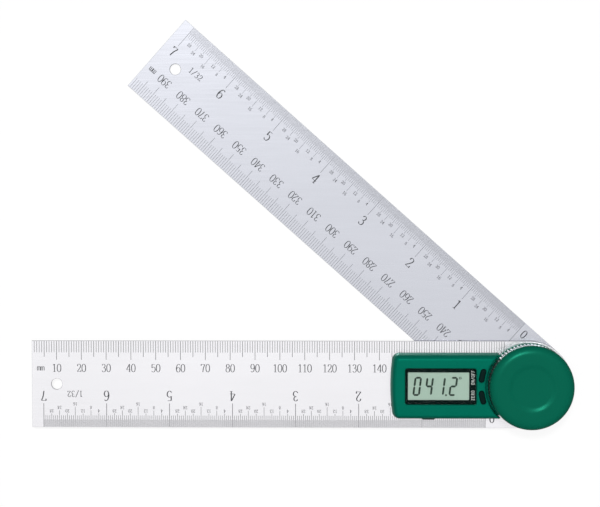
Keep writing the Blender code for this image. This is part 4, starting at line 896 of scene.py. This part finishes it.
def bar_outline(start, end):
    """A segment between two points: a bar with pointed ends, a little short of both."""
    start, end = np.array(start, float), np.array(end, float)
    run = (end - start) / np.linalg.norm(end - start)
    side = np.array([-run[1], run[0]]) * BAR / 2
    first, last = start + run * 0.03, end - run * 0.03
    return np.array([first, first + run * BAR / 2 - side, last - run * BAR / 2 - side, last,
                     last - run * BAR / 2 + side, first + run * BAR / 2 + side])


def digit(letter, left):
    """The lit segments of a digit, slanted: x grows with height."""
    low, high = -DIGIT_HEIGHT / 2 + BAR / 2, DIGIT_HEIGHT / 2 - BAR / 2
    near, far = BAR / 2, DIGIT_WIDTH - BAR / 2
    ends = {"a": ((near, high), (far, high)), "b": ((far, high), (far, 0)),
            "c": ((far, 0), (far, low)), "d": ((near, low), (far, low)),
            "e": ((near, 0), (near, low)), "f": ((near, high), (near, 0)),
            "g": ((near, 0), (far, 0))}
    shapes = []
    for name in SEGMENTS[letter]:
        outline = bar_outline(*ends[name])
        outline[:, 0] += left + (outline[:, 1] + DIGIT_HEIGHT / 2) * SLANT
        shapes.append(prism(outline, ink_low, ink_high))
    return shapes


foot = -DIGIT_HEIGHT / 2
point = np.array([(-34.05, foot), (-33.35, foot), (-33.27, foot + 0.7), (-33.97, foot + 0.7)])
degree = [(0.28, ink_low), (0.52, ink_low), (0.52, ink_high), (0.28, ink_high)]
figures = [bar for letter, left in READING for bar in digit(letter, left)]
figures.append(prism(point, ink_low, ink_high))
figures.append(turned(degree, 24, (-28.0, 3.35), True))
lcd_ink = grained("lcd_segment_ink", (0.030, 0.048, 0.038), 0.5, (1500.0, 2.0), (0.8, 1.3),
                  0.05, specular_ior_level=0.1)
reading = mesh_object("lcd_reading", figures)
hand_over(reading, "base", lcd_ink)

lcd_glass = grained("lcd_grey_green_glass", (0.43, 0.552, 0.478), 0.42, (5200.0, 1.0),
                    (0.96, 1.05), 0.05, (0.003, 0.2), (120.0, 1.0, 0.7), specular_ior_level=0.1)

# %% Words beside the buttons
LEGEND_X, LEGEND_SIZE = -23.0, 1.25
LEGENDS = (("ON/OFF", 3.6, 0.80), ("ZERO", -3.6, 0.84))
white_ink = grained("legend_white_ink", (0.78, 0.80, 0.79), 0.5, (2500.0, 2.0), (0.85, 1.05),
                    0.06)
legends = mesh_object("window_legends", [
    shape for text, y, pitch in LEGENDS
    for shape in write(text, LEGEND_SIZE, (LEGEND_X, y), (0.0, 1.0), pane_bottom - 0.02,
                       (0.06, 0.06), 4, pitch)])
hand_over(legends, "base", white_ink)

# %% [markdown]
# ## Two rubber buttons
# Each button is a kidney-shaped cap that stands a little out of the housing. Its outline is
# stacked upwards and drawn in along a quarter ellipse, and the last rows draw in towards the
# middle, so the top is softly crowned.

# %% Buttons
rubber = grained("button_black_rubber", (0.0012, 0.0115, 0.010), 0.6, (3000.0, 3.0),
                 (0.7, 1.5), 0.08, (0.008, 0.4), specular_ior_level=0.04)
for name, turn in BUTTONS.items():
    low, high = corners(name)
    shoulder = low[2] + 0.5
    rows = [(low[2], 0.25), (shoulder, 0.25), (shoulder, 0.0)]
    rows += [(high[2] - 0.08 - drop, -inset) for inset, drop in quarter(0.3, 0.26, 6)]
    rows += [(high[2] - 0.035, -0.5), (high[2], -0.8)]
    button = mesh_object(name + "_cap", [loft([(height, kidney(turn, grow))
                                               for height, grow in rows])])
    hand_over(button, name, rubber, [name], 50.0)

# %% [markdown]
# ## The lock knob's nut
# A knurled metal drum. It is one closed profile carried round the axis, and the wall's radius
# also depends on the turn: seventy-two rounded grooves, as a straight knurl leaves. The grooves
# run out at both chamfers. It is hollow below for the collar and above for the cap.

# %% Knurled nut
KNURLS = 72
KNURL_DEPTH = 0.45
PER_KNURL = 8

nickel = grained("knob_satin_nickel", (0.43, 0.447, 0.452), 0.36, (1400.0, 3.0), (0.82, 1.15),
                 0.1, (0.006, 0.5), (160.0, 2.0, 0.6), metallic=1.0,
                 specular_tint=(0.6, 0.64, 0.64, 1.0))


def knurled_drum(rows):
    """radius(row, turn) = the row's radius - its depth x groove(turn), a raised cosine."""
    radius, height, depth = np.array(rows, float).T
    turn = np.linspace(0.0, 2 * np.pi, KNURLS * PER_KNURL, endpoint=False)
    groove = (0.5 + 0.5 * np.cos(KNURLS * turn)) ** 1.6
    reach = radius[:, None] - depth[:, None] * groove
    return surface(ring_grid(reach, height, turn), loop=True)


nut_low, nut_high = knob_low[2], cap_top - 2.45
web_low, web_high = 9.4, 12.2
skirt, recess, bore = 14.8, 14.0, 4.2
root, edge = knob_radius - KNURL_DEPTH, knob_radius - 0.12
CHAMFER, RUN_OUT, EDGE_DEPTH = 0.24, 0.38, 0.33
nut_rows = [(root, nut_low, 0.0), (edge, nut_low + CHAMFER, EDGE_DEPTH),
            (knob_radius, nut_low + RUN_OUT, KNURL_DEPTH),
            (knob_radius, nut_high - RUN_OUT, KNURL_DEPTH),
            (edge, nut_high - CHAMFER, EDGE_DEPTH), (root, nut_high, 0.0),
            (recess, nut_high, 0.0), (recess, web_high, 0.0), (bore, web_high, 0.0),
            (bore, web_low, 0.0), (skirt, web_low, 0.0), (skirt, nut_low, 0.0)]
nut = mesh_object("knob_knurled_nut", [knurled_drum(nut_rows)])
hand_over(nut, "lock_knob", nickel, ["knob_nut"], 40.0)

# %% [markdown]
# ## The knob's cap
# A turned profile: a shallow dish whose slope is a raised cosine, a face that falls a little
# towards the rim, and a wide round that is a quarter ellipse down to the edge. Two hundred and
# forty sides keep the highlight smooth. A plug below the edge sits in the nut's recess.

# %% Green cap
DISH, SLOPE, LIP, BOWL, FALL = 9.9, 2.6, 0.44, 0.12, 0.18
FLOOR = DISH - SLOPE
PLUG, PLUG_WALL, PLUG_ROOF = recess - 0.2, 1.2, 14.46
share = np.linspace(0.0, 1.0, 17)
radius = np.linspace(0.0, FLOOR, 12)[:-1]
bowl = np.column_stack([radius, cap_top - LIP - BOWL * (1 - (radius / FLOOR) ** 2)])
slope = np.column_stack([FLOOR + SLOPE * share, cap_top - LIP * (1 + np.cos(np.pi * share)) / 2])
rim_rows = [(6.5, 0.0), (5.5, 0.0), (4.5, 0.0), *reversed(quarter(3.5, 2.3, 26))]
inset, drop = np.array(rim_rows).T
way = (knob_radius - DISH - inset) / (knob_radius - DISH)
rim = np.column_stack([knob_radius - inset, cap_top - drop - FALL * way ** 2])
plug = [(knob_radius, nut_high), (PLUG, nut_high), (PLUG, web_high + 0.2),
        (PLUG - PLUG_WALL, web_high + 0.2), (PLUG - PLUG_WALL, PLUG_ROOF), (0.0, PLUG_ROOF)]
cap = mesh_object("knob_green_cap", [turned(np.concatenate([bowl, slope, rim, plug]), 240)])
hand_over(cap, "lock_knob", painted_shade_cap_green, ["knob_cap"], 30.0)

# %% [markdown]
# ## Pivot stud and screws, seen from behind
# The stud's flanged head lies flush in the swing rule's back. Its radius at a given height and
# turn is the profile's radius, or the flat's distance over the sine of the turn where that is
# less, which gives the two flats without a cut. The screws are turned, with a cross recess.

# %% Stud with flats
def turned_metal(name, colour, roughness, rings):
    """Turned metal: fine rings, from a wave on the distance to the axis."""
    finish = Finish(name, colour, roughness, metallic=1.0)
    wave = finish.node("ShaderNodeTexWave", {"wave_type": "RINGS", "rings_direction": "Z"},
                       {"Vector": finish.place(), "Scale": rings, "Distortion": 0.25,
                        "Detail": 1.0}, output=1)
    fine = finish.noise(700.0, 2.0)
    finish.shade(wave * 0.5 + fine * 0.5, 0.9, 1.08)
    finish.rough(fine, 0.08)
    finish.bump(wave, 0.003, 0.4)
    return finish


stud_steel = turned_metal("stud_turned_steel", (0.60, 0.605, 0.615), 0.27, 520.0)
STUD, STUD_FLAT, STUD_TOP = 4.0, 3.2, 12.86
HEAD_TOP, FLAT_TOP = 0.61, 10.0
STUD_BORE = (1.7, 7.86, 13.9)
radius, height = np.array([
    (0.0, 0.0), (2.0, 0.0), (5.0, 0.0), (6.9, 0.0), (7.0, 0.1), (6.4, 0.6), (STUD, 0.6),
    (STUD, 0.62), (STUD, 9.98), (STUD, 10.02), (STUD, 12.46), (3.9, 12.72), (3.6, STUD_TOP),
    (0.0, STUD_TOP)]).T
turn = np.linspace(0.0, 2 * np.pi, 160, endpoint=False)
keyed = (height > HEAD_TOP) & (height < FLAT_TOP)
flat_reach = STUD_FLAT / np.maximum(np.abs(np.sin(turn)), 0.01)
reach = np.where(keyed[:, None], np.minimum(radius[:, None], flat_reach), radius[:, None])
stud = mesh_object("pivot_stud_turned", [surface(ring_grid(reach, height, turn), ends=False)],
                   -ARM_ANGLE)
combine(stud, rod(*STUD_BORE, 32))
hand_over(stud, "swing_arm", stud_steel, ["pivot_stud"])

# %% Countersunk screws
SCREW_HEAD, SCREW_SHANK = 1.8, 0.9
screw_steel = grained("screw_zinc", (0.52, 0.53, 0.55), 0.34, (800.0, 3.0), (0.8, 1.15), 0.1,
                      (0.004, 0.4), metallic=1.0)
for name in SCREWS:
    low, high = corners(name)
    x, y = middle(name)
    back, tip = low[2], high[2]
    profile = [(0.0, back), (SCREW_HEAD - 0.1, back), (SCREW_HEAD, back + 0.08),
               (SCREW_SHANK, back + 0.8), (SCREW_SHANK, tip - 0.2), (SCREW_SHANK - 0.2, tip),
               (0.0, tip)]
    screw = mesh_object(name + "_turned", [turned(profile, 48, (x, y))])
    for wide, deep, bottom, top in ((1.0, 0.2, -0.5, 0.4), (0.2, 1.0, -0.45, 0.38)):
        combine(screw, block(x - wide, x + wide, y - deep, y + deep, back + bottom, back + top))
    hand_over(screw, "base", screw_steel, [name])

# %% [markdown]
# ## Finishes for the pieces inside
# The boards, contacts, springs and the battery show when the tray is out, the knob is lifted or
# the housing is taken apart. Their nodes are right as they are and only get a finish: solder
# resist over copper tracks, layered rubber, brass with turning marks, a bright battery can.

# %% Inside finishes
black_plastic = moulded("black_moulded_plastic", (0.012, 0.0135, 0.0145), 0.42, 3600.0,
                        specular_ior_level=0.3)
slip_plastic = moulded("slip_ring_plastic", (0.78, 0.77, 0.73), 0.4, 2600.0,
                       specular_ior_level=0.4)
chip_black = moulded("chip_package", (0.015, 0.015, 0.016), 0.55, 5200.0, specular_ior_level=0.4)
brass = turned_metal("bearing_brass", (0.76, 0.60, 0.28), 0.3, 700.0)
spring_steel = turned_metal("bright_spring_steel", (0.62, 0.62, 0.64), 0.24, 300.0)
cell_steel = turned_metal("battery_can", (0.68, 0.68, 0.69), 0.22, 450.0)

board = Finish("board_green_resist", (0.015, 0.13, 0.05), 0.32, specular_ior_level=0.5)
tracks = board.node("ShaderNodeTexVoronoi",
                    {"feature": "DISTANCE_TO_EDGE", "distance": "CHEBYCHEV"},
                    {"Vector": board.place(), "Scale": 420.0})
ridge = board.ramp(tracks, 0.02, 0.06, 1.0, 0.0)
board.shade(ridge, 0.75, 1.9)
board.rough(board.noise(1500.0), 0.05)
board.bump(ridge, 0.02, 0.6)

zebra = Finish("zebra_layered_rubber", (0.26, 0.26, 0.27), 0.7, specular_ior_level=0.3)
layers = zebra.node("ShaderNodeTexWave", {"wave_type": "BANDS", "bands_direction": "X"},
                    {"Vector": zebra.place(), "Scale": 1600.0}, output=1)
zebra.shade(layers, 0.3, 1.7)
zebra.rough(layers, 0.08)
zebra.bump(layers, 0.01, 0.4)

INSIDE = (
    (slip_plastic, "glide_washer"), (brass, "pivot_bush rotor_hub"), (lcd_glass, "lcd_panel"),
    (cell_steel, "coin_cell"), (black_plastic, "lcd_frame battery_cradle battery_tray"),
    (board, "circuit_board sensor_board rotor_disc"), (chip_black, "board_link controller_chip"),
    (zebra, "zebra_strip_upper zebra_strip_lower"),
    (spring_steel, "switch_dome_on_off switch_dome_zero wave_spring"),
    (spring_steel, "contact_positive contact_negative"),
    (screw_steel, "clamp_washer stop_washer stop_screw board_screw_1 board_screw_2"),
)
for finish, nodes in INSIDE:
    for node in nodes.split():
        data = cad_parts[node].data
        data.materials.clear()
        data.materials.append(finish.material)
        print(node, "in", finish.material.name)

# %% [markdown]
# ## Floor, light and camera
# The tool lies on a white floor in soft light. The floor is mostly its own white, so it stays
# pale, and a small diffuse part takes the tool's shadow. A wide soft sun from the side, a narrow
# key sun and the bright top of the sky light the tool. Its reflections see a white tent that is
# darker towards the horizon, and the camera sees plain white.

# %% Floor and sky
RAYS = ("Is Camera Ray", "Is Glossy Ray", "Is Transmission Ray")
WHITE = (1.0, 1.0, 1.0, 1.0)
FLOOR_AREA = (-4000, 4000, -4000, 4000)
FLOOR_LIT = 0.16
MIRRORED_FLOOR = 0.45
floor = mesh_object("floor", [block(*FLOOR_AREA, -1.2, -0.05)])
ground = Finish("white_floor", WHITE[:3], 1.0)
diffuse = ground.node("ShaderNodeBsdfDiffuse", {},
                      {"Color": (FLOOR_LIT, FLOOR_LIT, FLOOR_LIT, 1.0)})
seen, mirrored, passed = (ground.node("ShaderNodeLightPath", output=name) for name in RAYS)
glow = ground.node("ShaderNodeEmission", {}, {
    "Color": WHITE,
    "Strength": seen * (1.01 - FLOOR_LIT) + (mirrored + passed) * MIRRORED_FLOOR})
both = ground.node("ShaderNodeAddShader", {}, {0: diffuse, 1: glow})
ground.feed(both, "Material Output", "Surface")
floor.data.materials.append(ground.material)

SKY_FILL = 0.11
HORIZON = 0.4
TOP_LIGHT = 1.95
world = bpy.data.worlds.new("white_tent")
bpy.context.scene.world = world
world.use_nodes = True
sky = Shading(world.node_tree)
seen, mirrored, passed = (sky.node("ShaderNodeLightPath", output=name) for name in RAYS)
heading = sky.node("ShaderNodeTexCoord", output="Generated")
upward = sky.node("ShaderNodeSeparateXYZ", {}, {0: heading}, output="Z")
tent = sky.ramp(upward, 0.0, 0.7, HORIZON, 1.0)
bent = mirrored + passed
top = sky.ramp(upward, 0.82, 0.90, 0.0, TOP_LIGHT)
lit = tent * (bent * (1.0 - SKY_FILL) + SKY_FILL) + top * (1 - bent)
sky.feed(lit * (1 - seen) + seen, "Background", "Strength")
sky.tree.nodes["Background"].inputs["Color"].default_value = WHITE
print("floor and sky")

# %% Lamps
def sun(name, strength, place, degrees):
    """A sun that shines from a place towards the pivot, and looks so many degrees wide."""
    data = bpy.data.lights.new(name, "SUN")
    data.energy = strength
    data.angle = math.radians(degrees)
    back = np.array(place) / np.linalg.norm(place)
    side = np.cross((0.0, 1.0, 0.0), back)
    side /= np.linalg.norm(side)
    axes = np.column_stack([side, np.cross(back, side), back])
    item = bpy.data.objects.new(name, data)
    bpy.context.scene.collection.objects.link(item)
    item.matrix_world = Matrix.Translation(place) @ Matrix(axes.tolist()).to_4x4()


sun("side_sun", 0.14, (-0.5, 0.5, 0.7), 60.0)
sun("key_sun", 1.15, (-0.09, 0.37, 0.91), 9.0)
print("lamps set")

# %% Camera
CAMERA_PLACE = (-0.08149, 0.08338, 0.651)
CAMERA_TILT = ((-0.03, "Z"), (-0.92, "Y"), (2.71, "X"))
camera_data = bpy.data.cameras.new("camera")
camera_data.sensor_width = 36.0
camera_data.lens = 97.12
camera_data.clip_start = 0.05
camera_data.clip_end = 50.0
camera = bpy.data.objects.new("camera", camera_data)
bpy.context.scene.collection.objects.link(camera)
tilt = Matrix.Identity(4)
for degrees, axis in CAMERA_TILT:
    tilt = tilt @ Matrix.Rotation(math.radians(degrees), 4, axis)
camera.matrix_world = Matrix.Translation(CAMERA_PLACE) @ tilt.transposed()
bpy.context.scene.camera = camera
bpy.context.scene.view_settings.view_transform = "Standard"
print("camera at", [round(part, 3) for part in camera.matrix_world.translation])

# %% [markdown]
# Last, the view layer is brought up to date.

# %% Update the view layer
bpy.context.view_layer.update()
